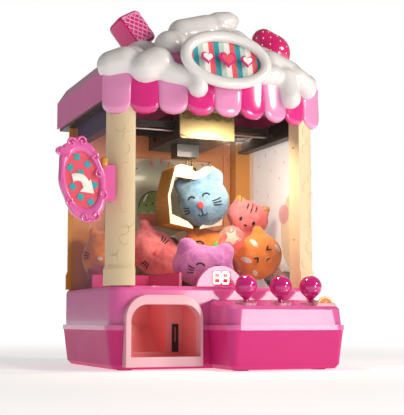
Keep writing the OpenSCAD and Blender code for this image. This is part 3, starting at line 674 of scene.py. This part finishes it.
def make_sign():
    at = Vector((-4, -141, 371.5))
    tilt = Matrix.Rotation(math.radians(-15), 3, "X")
    bm = bmesh.new()

    def point(u, v):
        a, b = 2 * math.pi * u, 2 * math.pi * v
        r, d = 7.2 * math.cos(b), 5.8 * math.sin(b)
        p = Vector(((52.6 + r) * math.cos(a), 0, (31.8 + r) * math.sin(a)))
        return (at + tilt @ (p + Vector((0, d, 0)))) / 1000

    add_grid(bm, point, 72, 14, wrap_u=True, wrap_v=True)
    piece(bm, "sign_bezel_ring", ["icing"], stands_for=("sign_bezel",))
    bm = bmesh.new()
    place = Matrix.Translation(at) @ tilt.to_4x4() @ facing(0, 0, 0)
    front = 3.2
    for x, size, mat in ((-26, 8.5, 0), (0, 11.5, 1), (26, 8.5, 0)):
        outer = [(a + x, b - 1) for a, b in heart(size)]
        inner = [(a + x, b - 1) for a, b in heart(size * 0.72)]
        plate(bm, outer, front - 1, front + 1.2, place, 2)
        plate(bm, inner, front - 1, front + 1.9, place, mat)
    piece(bm, "sign_hearts", ["white", "coral_print", "dark_pink"], bevel=0.4)


def make_wafer():
    """Rounded wafer block with a raised diamond lattice on its front and back."""
    half = Vector((18.5, 16, 23))
    turn = Euler([math.radians(v) for v in (-20, -30, 22)]).to_matrix()
    at = Vector((-87, -30, 424.5))
    bm = bmesh.new()
    add_ball(bm, at, half, turn, nu=48, nv=32, power=0.28)
    for side in (-1, 1):
        def point(u, v):
            x, z = (2 * u - 1) * 15.2, (2 * v - 1) * 19.6
            a, b = ((x + z) / 9) % 1, ((x - z) / 9) % 1
            ridge = max(abs(a - 0.5), abs(b - 0.5)) * 2
            lift = 1.5 * max(0.0, (ridge - 0.62) / 0.38)
            return (at + turn @ Vector((x, side * (half.y - 0.4 + lift), z))) / 1000
        add_grid(bm, point, 64, 72, mat=1)
    piece(bm, "wafer_block", ["wafer", "wafer_face"], stands_for=("wafer",))


def make_strawberry():
    low, high = Vector((93, -66, 407)), Vector((80, -68, 424))
    big, small = 25, 14
    axis = (high - low).normalized()
    turn = axis.to_track_quat("Z", "Y").to_matrix()
    span = (high - low).length
    slope = math.asin((big - small) / span)
    bm = bmesh.new()
    rows = 26
    profile = []
    for i in range(rows + 1):
        h = -big + (span + small + big) * i / rows
        if h < big * math.sin(slope):
            r = math.sqrt(max(0.0, big ** 2 - h * h))
        elif h > span + small * math.sin(slope):
            r = math.sqrt(max(0.0, small ** 2 - (h - span) ** 2))
        else:
            r = big / math.cos(slope) - h * math.tan(slope)
        profile.append((r, h))
    add_lathe(bm, profile, low, turn, 40)
    rng = random.Random(4)
    for i in range(74):
        t = (i + 0.5) / 74
        k = t * rows
        a, b = profile[int(k)], profile[min(rows, int(k) + 1)]
        r = a[0] + (b[0] - a[0]) * (k - int(k))
        h = a[1] + (b[1] - a[1]) * (k - int(k))
        w = i * 2.39996 + rng.uniform(-0.1, 0.1)
        spot = low + turn @ Vector((r * math.cos(w), r * math.sin(w), h))
        out = (spot - low - axis * h * 0.7).normalized()
        face = out.to_track_quat("Z", "Y").to_matrix()
        add_ball(bm, spot, (0.95, 1.5, 0.7), face, nu=8, nv=6, mat=1)
    piece(bm, "strawberry_seeded", ["strawberry", "seed"], stands_for=("strawberry",))


# ---- shop sign ----

def spiral(x, z, size, turns=1.3, start=0.0, way=1, n=22):
    out = []
    for i in range(n):
        t = i / (n - 1)
        w = start + way * turns * 2 * math.pi * t
        r = size * (1 - 0.82 * t)
        out.append((x + r * math.cos(w), z + r * math.sin(w)))
    return out


def make_shop_sign():
    x0, z0 = -174.5, 219.5
    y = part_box("shop_sign_frame")[0][1] * 1000

    def lean(bm):
        """Turns the sign's own pieces by its lean, about its middle."""
        turn = Matrix.Rotation(math.radians(-11), 3, "Y")
        bmesh.ops.rotate(bm, verts=bm.verts, cent=mm(x0, y, z0), matrix=turn)

    bm = bmesh.new()

    def ring(u, v):
        a, b = 2 * math.pi * u, 2 * math.pi * v
        edge = math.cos(b)
        r = 3.6 * math.copysign(abs(edge) ** 0.7, edge)
        d = 4.5 * math.copysign(abs(math.sin(b)) ** 0.55, math.sin(b))
        wave = 0.7 * math.cos(8 * a)
        return Vector((x0 + (23.4 + r + wave * (edge > 0)) * math.cos(a), y + 4.5 + d,
                       z0 + (41.5 + 2.3 * r + wave * (edge > 0)) * math.sin(a))) / 1000

    add_grid(bm, ring, 80, 16, wrap_u=True, wrap_v=True)
    curls = ((-6, 44, 6, 0.2, 1), (7, 44, 6, 2.9, -1), (18, 24, 5.5, 1.8, -1), (20, -20, 5.5, 4.5, 1),
             (-20, -22, 5.5, 5.0, -1), (-6, -43, 6, 6.0, -1), (7, -43, 6, 3.4, 1), (20, 4, 4.6, 1.5, 1))
    for dx, dz, size, start, way in curls:
        path = [(a, y - 0.1, b) for a, b in spiral(x0 + dx, z0 + dz, size, 1.2, start, way)]
        add_sweep(bm, path, 1.35, 8, taper=True, up=(0, 1, 0))
    lean(bm)
    front = facing(x0 - 22, y + 1, z0 + 33, roll=28)
    plate(bm, heart(9), -7, 2.2, front)
    plate(bm, heart(6.2), 2.2, 3.4, front)
    piece(bm, "shop_sign_oval", ["light_pink"], stands_for=("shop_sign_frame",),
          bevel=0.5)
    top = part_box("shop_sign_plate")[0][1] * 1000
    bm = bmesh.new()
    spots = ((-2, 27), (9, 17), (-12, 16), (-1, 8), (-13, -6), (13, -8), (-6, -19), (5, -27))
    for dx, dz in spots:
        plate(bm, clover(4.6), -0.3, 0.7, facing(x0 + dx, top, z0 + dz, roll=40 + dx * 4))
    curve = [(x0 - 12 + 15 * math.sin(t * 1.6), top - 0.9, z0 + 4 - 13 * t + 5 * math.sin(3 * t))
             for t in [k / 12 for k in range(13)]]
    add_sweep(bm, curve, 4.6, 10, mat=1, flat=0.3, up=(0, 1, 0))
    tip = curve[-1]
    head = [(-2, 10), (12, 0), (-2, -10)]
    plate(bm, head, -0.2, 1.6, facing(tip[0], top, tip[2], roll=-52), mat=1)
    lean(bm)
    piece(bm, "shop_sign_motifs", ["teal", "white"], stands_for=("shop_sign_relief",),
          bevel=0.3)
    bm = bmesh.new()
    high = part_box("shop_sign_bracket")[1][2] * 1000
    add_ball(bm, (x0 + 27.5, y + 9, high + 3), (4.2, 4, 6), nu=20, nv=12, power=0.6)
    piece(bm, "shop_sign_clip", ["amber"])


# ---- cabinet trim ----

def make_swirls():
    """Shallow curls cut into the two front columns."""
    bm = bmesh.new()
    rng = random.Random(12)
    for side in (-1, 1):
        for k in range(15):
            z = 128 + k * 12.2 + rng.uniform(-2, 2)
            mid = rng.uniform(0.18, 0.82)
            size = rng.uniform(4.5, 8.5)
            start = rng.uniform(0, 6.28)
            turns = rng.uniform(0.35, 0.6) * rng.choice((-1, 1))
            path = []
            for i in range(12):
                w = start + turns * 2 * math.pi * i / 11
                a = mid * math.pi / 2 + size * math.cos(w) / 28
                r = 28.12
                path.append((side * (109 + r * math.sin(max(0.03, min(1.54, a)))),
                             -83 - r * math.cos(max(0.03, min(1.54, a))), z + size * math.sin(w)))
            add_sweep(bm, path, 0.34, 6, taper=True)
    piece(bm, "column_swirls", ["cream_dark"])


def make_digits():
    lo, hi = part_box("display_panel")
    x0, x1, z0, z1 = lo[0] * 1000, hi[0] * 1000, lo[2] * 1000, hi[2] * 1000
    y = lo[1] * 1000
    bm = bmesh.new()
    high = (z1 - z0) * 0.40
    wide = (x1 - x0) * 0.165
    for mid in (x0 + (x1 - x0) * 0.28, x0 + (x1 - x0) * 0.72):
        c = (z0 + z1) / 2
        for dz in (-high, 0, high):
            add_sweep(bm, [(mid - wide, y - 0.2, c + dz), (mid + wide, y - 0.2, c + dz)], 1.15, 8,
                      flat=0.4, up=(0, 1, 0))
        for dx in (-wide, wide):
            for dz in (-high / 2, high / 2):
                add_sweep(bm, [(mid + dx, y - 0.2, c + dz - high * 0.42),
                               (mid + dx, y - 0.2, c + dz + high * 0.42)], 1.15, 8, flat=0.4,
                          up=(0, 1, 0))
    piece(bm, "display_digits", ["led_white"])


def make_back_print():
    """Sprinkles, a round badge with three rays and a scoop in a dish, on the loading door."""
    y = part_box("loading_door")[0][1] * 1000
    bm = bmesh.new()
    base = facing(0, y, 0)

    def put(outline, mat, x, z, lift, turn=0):
        plate(bm, outline, -0.2, lift, base @ Matrix.Translation((x, z, 0))
              @ Matrix.Rotation(math.radians(turn), 4, "Z"), mat)

    put(ellipse(57, 57, 64), 0, -5, 229, 0.15)
    for x, z, turn in ((-12, 279, 18), (2, 283, 0), (14, 279, -18)):
        put(ellipse(1.5, 4.4, 14), 1, x, z, 0.4, turn)
    dome = [(22 * math.cos(t), 24 * math.sin(t)) for t in [math.pi * k / 24 for k in range(25)]]
    put([(a * 1.07, b * 1.07) for a, b in dome], 4, -8, 214, 0.3)
    put(dome, 2, -8, 214.6, 0.5)
    wave = [(-25, 2)] + [(-25 + 50 * k / 20, -4 - 2.4 * math.sin(k * 1.25)) for k in range(21)] + [(25, 2)]
    put(wave[::-1], 2, -8, 213, 0.55)
    put([(-26, 0), (26, 0), (17, -17), (-17, -17)][::-1], 3, -8, 207, 0.45)
    rng = random.Random(21)
    for x, z in ((-18, 230), (-2, 226), (-10, 222), (4, 221), (-20, 219)):
        put(ellipse(1.3, 1.3, 10), 4, x, z, 0.75)
    put(ellipse(1.6, 7, 14), 5, -21, 229, 0.75, -28)
    sprinkles = [(-34.7, 270, 6), (-50, 262, 1), (60, 256, 3), (70, 240, 2), (52, 275, 1), (66, 281, 1),
                 (73.5, 264, 2), (40, 284, 2), (-64, 250, 1), (-70, 282, 6), (58, 218, 6), (74, 206, 1),
                 (-72, 224, 2), (64, 190, 3), (-66, 200, 1), (30, 279, 6), (76, 284, 6), (56, 150, 1)]
    for x, z, mat in sprinkles:
        put(ellipse(0.9, 2.9, 10), mat, x, z, 0.35, rng.uniform(-80, 80))
    piece(bm, "back_print_relief", ["print_grey", "coral_print", "print_green", "print_rose", "ink",
                                    "white", "print_navy"], body="loading_door", bevel=0)


def make_window_print():
    """Faint sprinkles and one pale badge printed on the right window."""
    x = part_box("window_right")[0][0] * 1000
    bm = bmesh.new()
    place = Matrix.Translation((x, 0, 0)) @ Matrix(((0, 0, -1), (1, 0, 0), (0, 1, 0))).to_4x4()
    rng = random.Random(8)
    spots = ((14, 264), (-26, 270), (52, 275), (23, 230), (60, 240), (-60, 262), (40, 205), (-12, 250),
             (66, 206), (-48, 282), (0, 289), (30, 288))
    for a, b in spots:
        turn = Matrix.Rotation(math.radians(rng.uniform(-80, 80)), 4, "Z")
        plate(bm, ellipse(0.8, 3.0, 10), 0.05, 0.3, place @ Matrix.Translation((a, b, 0)) @ turn, 0)
    plate(bm, ellipse(34, 50, 48), 0.05, 0.2, place @ Matrix.Translation((-49, 176, 0)), 1)
    plate(bm, ellipse(15, 13, 30), 0.2, 0.35, place @ Matrix.Translation((-24, 200, 0)), 2)
    piece(bm, "window_print", ["faint_pink", "faint_yellow", "faint_rose"])


def make_awning_shadow():
    """Painted shadow of the eave scallops on the trolley cover: olive scalloped sheets over its upper
    front, with a wavy hem along its foot.
    """
    lo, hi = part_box("trolley_cover")
    x0, x1, y, z0, z1 = (v * 1000 for v in (lo[0], hi[0], lo[1], lo[2], hi[2]))
    bm = bmesh.new()
    count = 5
    step = (x1 - x0 - 6) / count
    for k in range(count):
        mid = x0 + 3 + step * (k + 0.5)

        def point(u, v):
            s = 2 * u - 1
            drop = math.sqrt(max(0.0, 1 - s * s))
            low = z1 - 9 - 7 * drop
            z = (z1 - 1.5) + (low - z1 + 1.5) * v
            edge = min(v, 1 - v) * 2
            return Vector((mid + s * step / 2, y - 2.2 * drop * (0.5 + 0.5 * edge), z)) / 1000

        add_grid(bm, point, 14, 10)
    # the olive sheets are painted shadow cast by the scalloped eave, standing a little proud of the cover
    piece(bm, "trolley_awning_shadow", ["olive"], body="trolley")
    bm = bmesh.new()
    wave = []
    for k in range(25):
        t = k / 24
        wave.append((x0 + 1 + (x1 - x0 - 2) * t, y - 0.2, z0 + 2.2 + 1.8 * math.cos(t * math.pi * 5)))
    add_sweep(bm, wave, 1.1, 8)
    piece(bm, "trolley_hem", ["beige"], body="trolley")


def make_necks():
    """The tapering neck that runs each joystick ball into its stem."""
    for body in ("joystick_left", "joystick_middle", "joystick_right"):
        lo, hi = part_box(body)
        x, y, top = (lo[0] + hi[0]) * 500, (lo[1] + hi[1]) * 500, hi[2] * 1000
        bm = bmesh.new()
        profile = [(0, -16.5), (12.9, -17.6), (11.9, -20.4), (9.6, -23), (6.8, -25.4), (4.4, -27.6),
                   (3.3, -29.4), (0, -29.4)]
        add_lathe(bm, profile, (x, y, top), steps=36)
        piece(bm, body + "_neck", ["stick"], body=body)


def make_token():
    c = centre("token")
    lo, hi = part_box("token")
    thick = (hi[1] - lo[1]) * 500
    bm = bmesh.new()
    face = Matrix(((1, 0, 0), (0, 0, -1), (0, 1, 0)))
    profile = [(0, thick - 0.5), (8.2, thick - 0.5), (8.6, thick), (10.2, thick), (10.9, thick - 0.5)]
    profile += [(r, -h) for r, h in reversed(profile)]
    add_lathe(bm, profile, c, face, 48, mat=0)
    for face_poly in bm.faces:
        mid = face_poly.calc_center_median() * 1000 - c
        if math.hypot(mid.x, mid.z) > 8.4:
            face_poly.material_index = 1
    for way in (0, 180):
        put = Matrix.Translation(c) @ Matrix.Rotation(math.radians(way), 4, "Z") @ facing(0, 0, 0)
        plate(bm, star(5.6, 2.6), thick - 0.7, thick - 0.05, put, 1)
    piece(bm, "token_disc", ["orange", "gold"], body="token", stands_for=("token",),
          bevel=0.15)


def make_chains():
    lo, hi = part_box("lift_chains")
    bm = bmesh.new()
    x_mid, y = (lo[0] + hi[0]) * 500, (lo[1] + hi[1]) * 500
    z0, z1 = lo[2] * 1000, hi[2] * 1000
    for s in (-3.7, 3.7):
        add_sweep(bm, [(x_mid + s, y, z0), (x_mid + s, y, z1)], 0.45, 6)
        z = z0 + 1.2
        while z < z1 - 1:
            add_ball(bm, (x_mid + s, y, z), (1.15, 1.15, 1.15), nu=8, nv=6)
            z += 2.9
    piece(bm, "bead_chains", ["brass"], body="claw", stands_for=("lift_chains",))


def make_jaw_ribs():
    """Ribs moulded along the outside of each claw jaw."""
    c = centre("claw_pin")
    for side, body in ((-1, "jaw_left"), (1, "jaw_right")):
        bm = bmesh.new()
        line = [(21.6, 263.4), (30.2, 259), (40.1, 220), (36.7, 184), (6, 178.3)]
        for k in range(-4, 5):
            path = [(c.x + side * a, c.y + k * 5.2, b) for a, b in line]
            add_sweep(bm, path, 0.75, 6)
        # the ribs wear golden paint: painted shade of the cream jaws' outer sides
        piece(bm, body + "_ribs", ["jaw_rib_painted_shade"], body=body)


# ---- capsules ----

def make_capsule(name, at, low, turn, radius=17.3):
    """Two half shells with a seam ring and a star inside."""
    t = Euler([math.radians(v) for v in turn]).to_matrix()
    bm = bmesh.new()

    def shell(sign, r, mat):
        pts = []
        for k in range(15):
            w = math.pi / 2 * k / 14
            pts.append((r * math.cos(w), sign * r * math.sin(w)))
        add_lathe(bm, pts, at, t, 40, mat)

    shell(-1, radius, 0)
    shell(1, radius, 1)
    lip = [(radius - 0.3, -1.2), (radius + 0.7, -1.0), (radius + 0.7, 1.0), (radius - 0.3, 1.2)]
    add_lathe(bm, lip, at, t, 40, 0)
    place = Matrix.Translation(at) @ facing(0, 0, 0, yaw=-18, roll=turn[1])
    outline = star(radius * 0.62, radius * 0.33, turn=100)
    plate(bm, outline, -1.8, 1.8, place @ Matrix.Translation((0, radius * 0.12, 0)), 2)
    piece(bm, name, [low, "capsule_clear", "seed"])


# ---- plush prizes ----

def blob(parts, name, paint, voxel):
    """Fuses ellipsoids (place, radii, turn) into one even skin."""
    bm = bmesh.new()
    for at, radii, turn in parts:
        add_ball(bm, at, radii, Euler([math.radians(v) for v in turn]).to_matrix(), nu=28, nv=18)
    obj = to_object(bm, name, [paint], weld=False)
    modified(obj, "REMESH", "skin", mode="VOXEL", voxel_size=voxel / 1000, use_smooth_shade=True)
    modified(obj, "SMOOTH", "relax", factor=0.5, iterations=4)
    return bake(obj)


def swell(objs, cap):
    """Stuffs the skins: cloth with inner pressure, and no point moves more than cap mm."""
    for obj in objs:
        m = obj.modifiers.new("stuffing", "CLOTH")
        s = m.settings
        s.quality = 4
        s.mass = 0.15
        s.tension_stiffness = 12
        s.compression_stiffness = 12
        s.bending_stiffness = 0.6
        s.use_pressure = True
        s.uniform_pressure_force = 4
        s.effector_weights.gravity = 0
        m.collision_settings.use_collision = False
    for number in range(1, 21):
        scene.frame_set(number)
    deps = bpy.context.evaluated_depsgraph_get()
    for obj in objs:
        moved = [v.co.copy() for v in obj.evaluated_get(deps).data.vertices]
        rest = [v.co.copy() for v in obj.data.vertices]
        obj.modifiers.clear()
        for v, a, b in zip(obj.data.vertices, rest, moved):
            step = b - a
            if step.length > cap / 1000:
                step *= cap / 1000 / step.length
            v.co = a + step
    scene.frame_set(1)


def pile(obj, seam=True):
    """Subdivides once, sinks the side seam and roughens the surface like short pile."""
    modified(obj, "SUBSURF", "finer", levels=1, render_levels=1)
    bake(obj)
    normals = [v.normal.copy() for v in obj.data.vertices]
    for v, n in zip(obj.data.vertices, normals):
        p = v.co * 1000
        lump = noise.noise(p * 0.09) * 0.9 + noise.noise(p * 0.45) * 0.4
        lump += noise.noise(p * 1.3) * 0.22
        if seam:
            lump -= 1.1 * math.exp(-(p.y / 1.1) ** 2)
        v.co += n * lump / 1000
    for poly in obj.data.polygons:
        poly.use_smooth = True


class Face:
    """Embroidery and patches laid on a plush head, in the head's own right and up axes."""

    def __init__(self, obj):
        self.mesh = obj.data
        self.bm = bmesh.new()
        self.bm.from_mesh(self.mesh)
        self.tree = BVHTree.FromBMesh(self.bm)

    def on(self, x, z, lift=0.15):
        hit = self.tree.ray_cast(Vector((x, -100, z)) / 1000, Vector((0, 1, 0)))
        if hit[0] is None:
            hit = self.tree.find_nearest(Vector((x, -20, z)) / 1000)
        return (hit[0] + hit[1] * lift / 1000) * 1000

    def stroke(self, points, radius=0.9, mat=1):
        fine = []
        for (a, b), (c, d) in zip(points, points[1:]):
            for k in range(4):
                fine.append((a + (c - a) * k / 4, b + (d - b) * k / 4))
        fine.append(points[-1])
        add_sweep(self.bm, [self.on(a, b) for a, b in fine], radius, 6, mat, taper=True)

    def arc(self, x, z, w, h, radius=0.9, mat=1):
        pts = []
        for k in range(7):
            t = math.pi * k / 6
            pts.append((x - w * math.cos(t), z + h * math.sin(t)))
        self.stroke(pts, radius, mat)

    def patch(self, x, z, a, b, mat, lift=0.7, turn=0.0, shape=None):
        """A raised sewn patch: an ellipse, or a triangle for an inner ear."""
        rings = []
        c, s = math.cos(math.radians(turn)), math.sin(math.radians(turn))
        n = 18
        for share in (1.0, 0.85, 0.45):
            ring = []
            for k in range(n):
                w = 2 * math.pi * k / n
                reach = 1.0
                if shape == "triangle":
                    reach = 0.62 / max(0.5, math.cos(((w - math.pi / 2) % (2 * math.pi / 3)) - math.pi / 3))
                    reach *= 1.35
                dx, dz = a * share * reach * math.cos(w), b * share * reach * math.sin(w)
                p = self.on(x + dx * c - dz * s, z + dx * s + dz * c, lift if share < 1 else -0.2)
                ring.append(self.bm.verts.new(p / 1000))
            rings.append(ring)
        for p, q in zip(rings, rings[1:]):
            for k in range(n):
                f = self.bm.faces.new((p[k], p[(k + 1) % n], q[(k + 1) % n], q[k]))
                f.material_index = mat
                f.smooth = True
        self.bm.faces.new(rings[-1]).material_index = mat

    def whiskers(self, x, z, side, length=8, mat=1, radius=0.85):
        for k in (-1, 0, 1):
            self.stroke([(x, z - k * 2.6), (x + side * length * 0.5, z - k * 3.5),
                         (x + side * length, z - k * 4.6 + 0.6)], radius, mat)

    def done(self):
        bmesh.ops.recalc_face_normals(self.bm, faces=self.bm.faces)
        self.bm.to_mesh(self.mesh)
        self.bm.free()


def cat_parts(rx, ry, rz, ear=1.0, body=None):
    parts = [((0, 0, 0), (rx, ry, rz), (0, 0, 0)),
             ((-rx * 0.62, 0, rz * 0.72), (rx * 0.3 * ear, ry * 0.42, rz * 0.46 * ear), (0, -24, 0)),
             ((rx * 0.62, 0, rz * 0.72), (rx * 0.3 * ear, ry * 0.42, rz * 0.46 * ear), (0, 24, 0))]
    if body:
        parts.append(body)
    return parts


def blue_face(f):
    f.arc(-9, 5, 4.6, 3.6, 1.0)
    f.arc(11, 5, 4.6, 3.6, 1.0)
    f.patch(1, -5, 4.4, 5.2, 2, 1.0)
    f.stroke([(1, -10), (1, -17)], 0.8)
    f.arc(-1.8, -16, 3, -3, 0.8)
    f.arc(4, -16, 3, -3, 0.8)
    f.whiskers(17, -6, 1, 11)
    f.whiskers(-15, -8, -1, 9)


def tiger_face(f):
    for x in (-9, 9):
        f.patch(x, -7, 2.1, 3.2, 1, 0.5)
    f.patch(0, -13, 2.6, 1.4, 1, 0.5)
    for x, low, high in ((-6, 8, 17), (0, 4, 18), (6, 8, 17)):
        f.stroke([(x, high), (x + 0.3, low)], 1.1)
    for x in (-1, 1):
        f.patch(x * 20.5, 22, 4.4, 6.0, 2, 0.5, x * -24, "triangle")


def orange_face(f):
    f.stroke([(-13, 6), (-7.5, 3), (-13, -1)], 1.1)
    f.stroke([(13, 6), (7.5, 3), (13, -1)], 1.1)
    f.stroke([(-3, -8), (0, -6), (3, -8)], 0.9)
    f.patch(-20, 10, 3.2, 7, 2, 0.5, 20)
    f.patch(2, 20, 3.4, 6.5, 2, 0.5, -10)
    f.patch(22, -6, 3, 6, 2, 0.5, 0)
    f.patch(-22, -10, 2.6, 5, 2, 0.5, 0)


def sleepy_face(f):
    for x in (-12, 12):
        f.arc(x, 3, 5, 3.4, 1.1)
    f.patch(0, -4, 3.6, 2.6, 2, 0.8)
    for x in (-3, 3):
        f.arc(x, -8, 3, -2.4, 0.8)
    f.whiskers(18, -4, 1, 8)
    f.whiskers(-18, -4, -1, 8)


def plain_face(f):
    f.patch(0, -4, 3.6, 2.6, 2, 0.8)
    f.whiskers(16, -3, 1, 8)
    f.whiskers(-16, -3, -1, 8)


def fur(main, patch="white"):
    """The paints of a plush: its pile, its stitching and its patches."""
    return "fur_" + main, "ink", "fur_" + patch


# Name, body, middle, turn, shapes, paints, face, and a joint with what it keeps; here the joint only gives
# the plush a mesh of its own.
PLUSH = (
    ("plush_blue_cat", "claw", (25, 3, 215), (5, -12, -36), cat_parts(36, 25, 34, 1.1),
     fur("blue", "coral"), blue_face, None),
    ("plush_pink_tiger", "cabinet", (88, -2, 196), (0, 21, -20),
     cat_parts(30, 20, 23, 0.9, ((2, 6, -30), (24, 18, 26), (0, 0, 0))),
     fur("pink", "gold"), tiger_face, ("trolley_slide", 0.36)),
    ("plush_orange_tiger", "cabinet", (84, -44, 141), (0, -42, -8),
     cat_parts(32, 24, 30, 0.9), fur("orange"), orange_face, ("claw_lift", 0.8)),
    ("plush_orange_cat", "cabinet", (36, 18, 155), (0, 4, -16),
     cat_parts(33, 24, 26, 0.9, ((0, 4, -30), (30, 24, 26), (0, 0, 0))),
     fur("orange"), sleepy_face, ("claw_lift", 0.24)),
    ("plush_purple_cat", "cabinet", (-4, -66, 126), (14, 6, -2),
     cat_parts(41, 24, 27, 1.15), fur("purple", "coral"), sleepy_face,
     ("claw_lift", 0.5)),
    ("plush_salmon_cat", "cabinet", (-34, 34, 149), (0, -52, -20),
     cat_parts(30, 23, 36, 1.0, ((4, 4, -28), (26, 22, 24), (0, 0, 0))),
     fur("salmon", "coral"), plain_face, ("claw_lift", 0.4)),
    ("plush_amber_bear", "cabinet", (-96, 52, 142), (0, 10, -30),
     cat_parts(30, 24, 34, 0.9), fur("orange"), plain_face, ("claw_lift", 0.5)),
    ("plush_red_bear", "cabinet", (-98, 34, 116), (0, -20, -24),
     cat_parts(27, 20, 18, 0.9), fur("red"), plain_face, ("claw_lift", 0.8)),
    ("plush_brown_bear", "cabinet", (20, 66, 134), (0, 12, 10),
     cat_parts(38, 26, 32, 0.9), fur("brown"), plain_face, ("claw_lift", 0.3)),
    ("plush_peach_bear", "cabinet", (92, 50, 130), (0, -8, -10),
     cat_parts(32, 28, 30, 0.9), fur("salmon"), plain_face, ("claw_lift", 0.5)),
    ("plush_green_ball", "cabinet", (44, -14, 148), (0, 0, 0),
     [((0, 0, 0), (16, 15, 16), (0, 0, 0))], fur("green"), None,
     ("claw_lift", 0.3)),
)

# Base and tip colours of each pile.
FURS = {
    "fur_blue": ((84, 140, 182), (140, 176, 194)), "fur_coral": ((236, 84, 78), (236, 84, 78)),
    "fur_pink": ((246, 104, 116), (250, 132, 132)), "fur_gold": ((206, 160, 50), (206, 160, 50)),
    "fur_orange": ((232, 122, 28), (242, 146, 60)), "fur_white": ((226, 222, 218), (226, 222, 218)),
    "fur_purple": ((200, 96, 190), (226, 136, 190)), "fur_salmon": ((222, 98, 108), (238, 132, 132)),
    "fur_red": ((176, 60, 46), (176, 60, 46)), "fur_brown": ((130, 74, 52), (130, 74, 52)),
    "fur_green": ((112, 214, 60), (112, 214, 60)),
}
SKIN_VOXEL = 4.0
STUFFING_CAP = 2.5


def make_plush():
    for key, (colour, tip) in FURS.items():
        plush_cloth(key, colour, tip)
    made = []
    for name, body, at, turn, parts, paints, draw, press in PLUSH:
        made.append(blob(parts, name, paints[0], SKIN_VOXEL))
    swell(made, STUFFING_CAP)
    for obj, (name, body, at, turn, parts, paints, draw, press) in zip(made, PLUSH):
        pile(obj)
        for key in paints[1:]:
            obj.data.materials.append(M[key].mat)
        if draw:
            face = Face(obj)
            draw(face)
            face.done()
        spin = (Matrix.Rotation(math.radians(turn[2]), 4, "Z")
                @ Matrix.Rotation(math.radians(turn[0]), 4, "X")
                @ Matrix.Rotation(math.radians(turn[1]), 4, "Y"))
        obj.data.transform(Matrix.Translation(mm(*at)) @ spin)
        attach(obj, body)
        if press:
            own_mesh(obj)


# ---- the whole machine ----

make_camera()
make_studio()
make_plush()
make_icing()
make_scallops()
make_sign()
make_wafer()
make_strawberry()
make_shop_sign()
make_swirls()
make_digits()
make_back_print()
make_window_print()
make_awning_shadow()
make_necks()
make_token()
make_chains()
make_jaw_ribs()
make_capsule("capsule_pink", (41, -52, 162), "capsule_salmon", (20, -35, 0))
make_capsule("capsule_right", (110, -46, 115), "capsule_violet", (10, -20, 0))
make_capsule("capsule_left", (-58, 66, 172), "capsule_teal", (0, 20, 0))
finish_nodes()
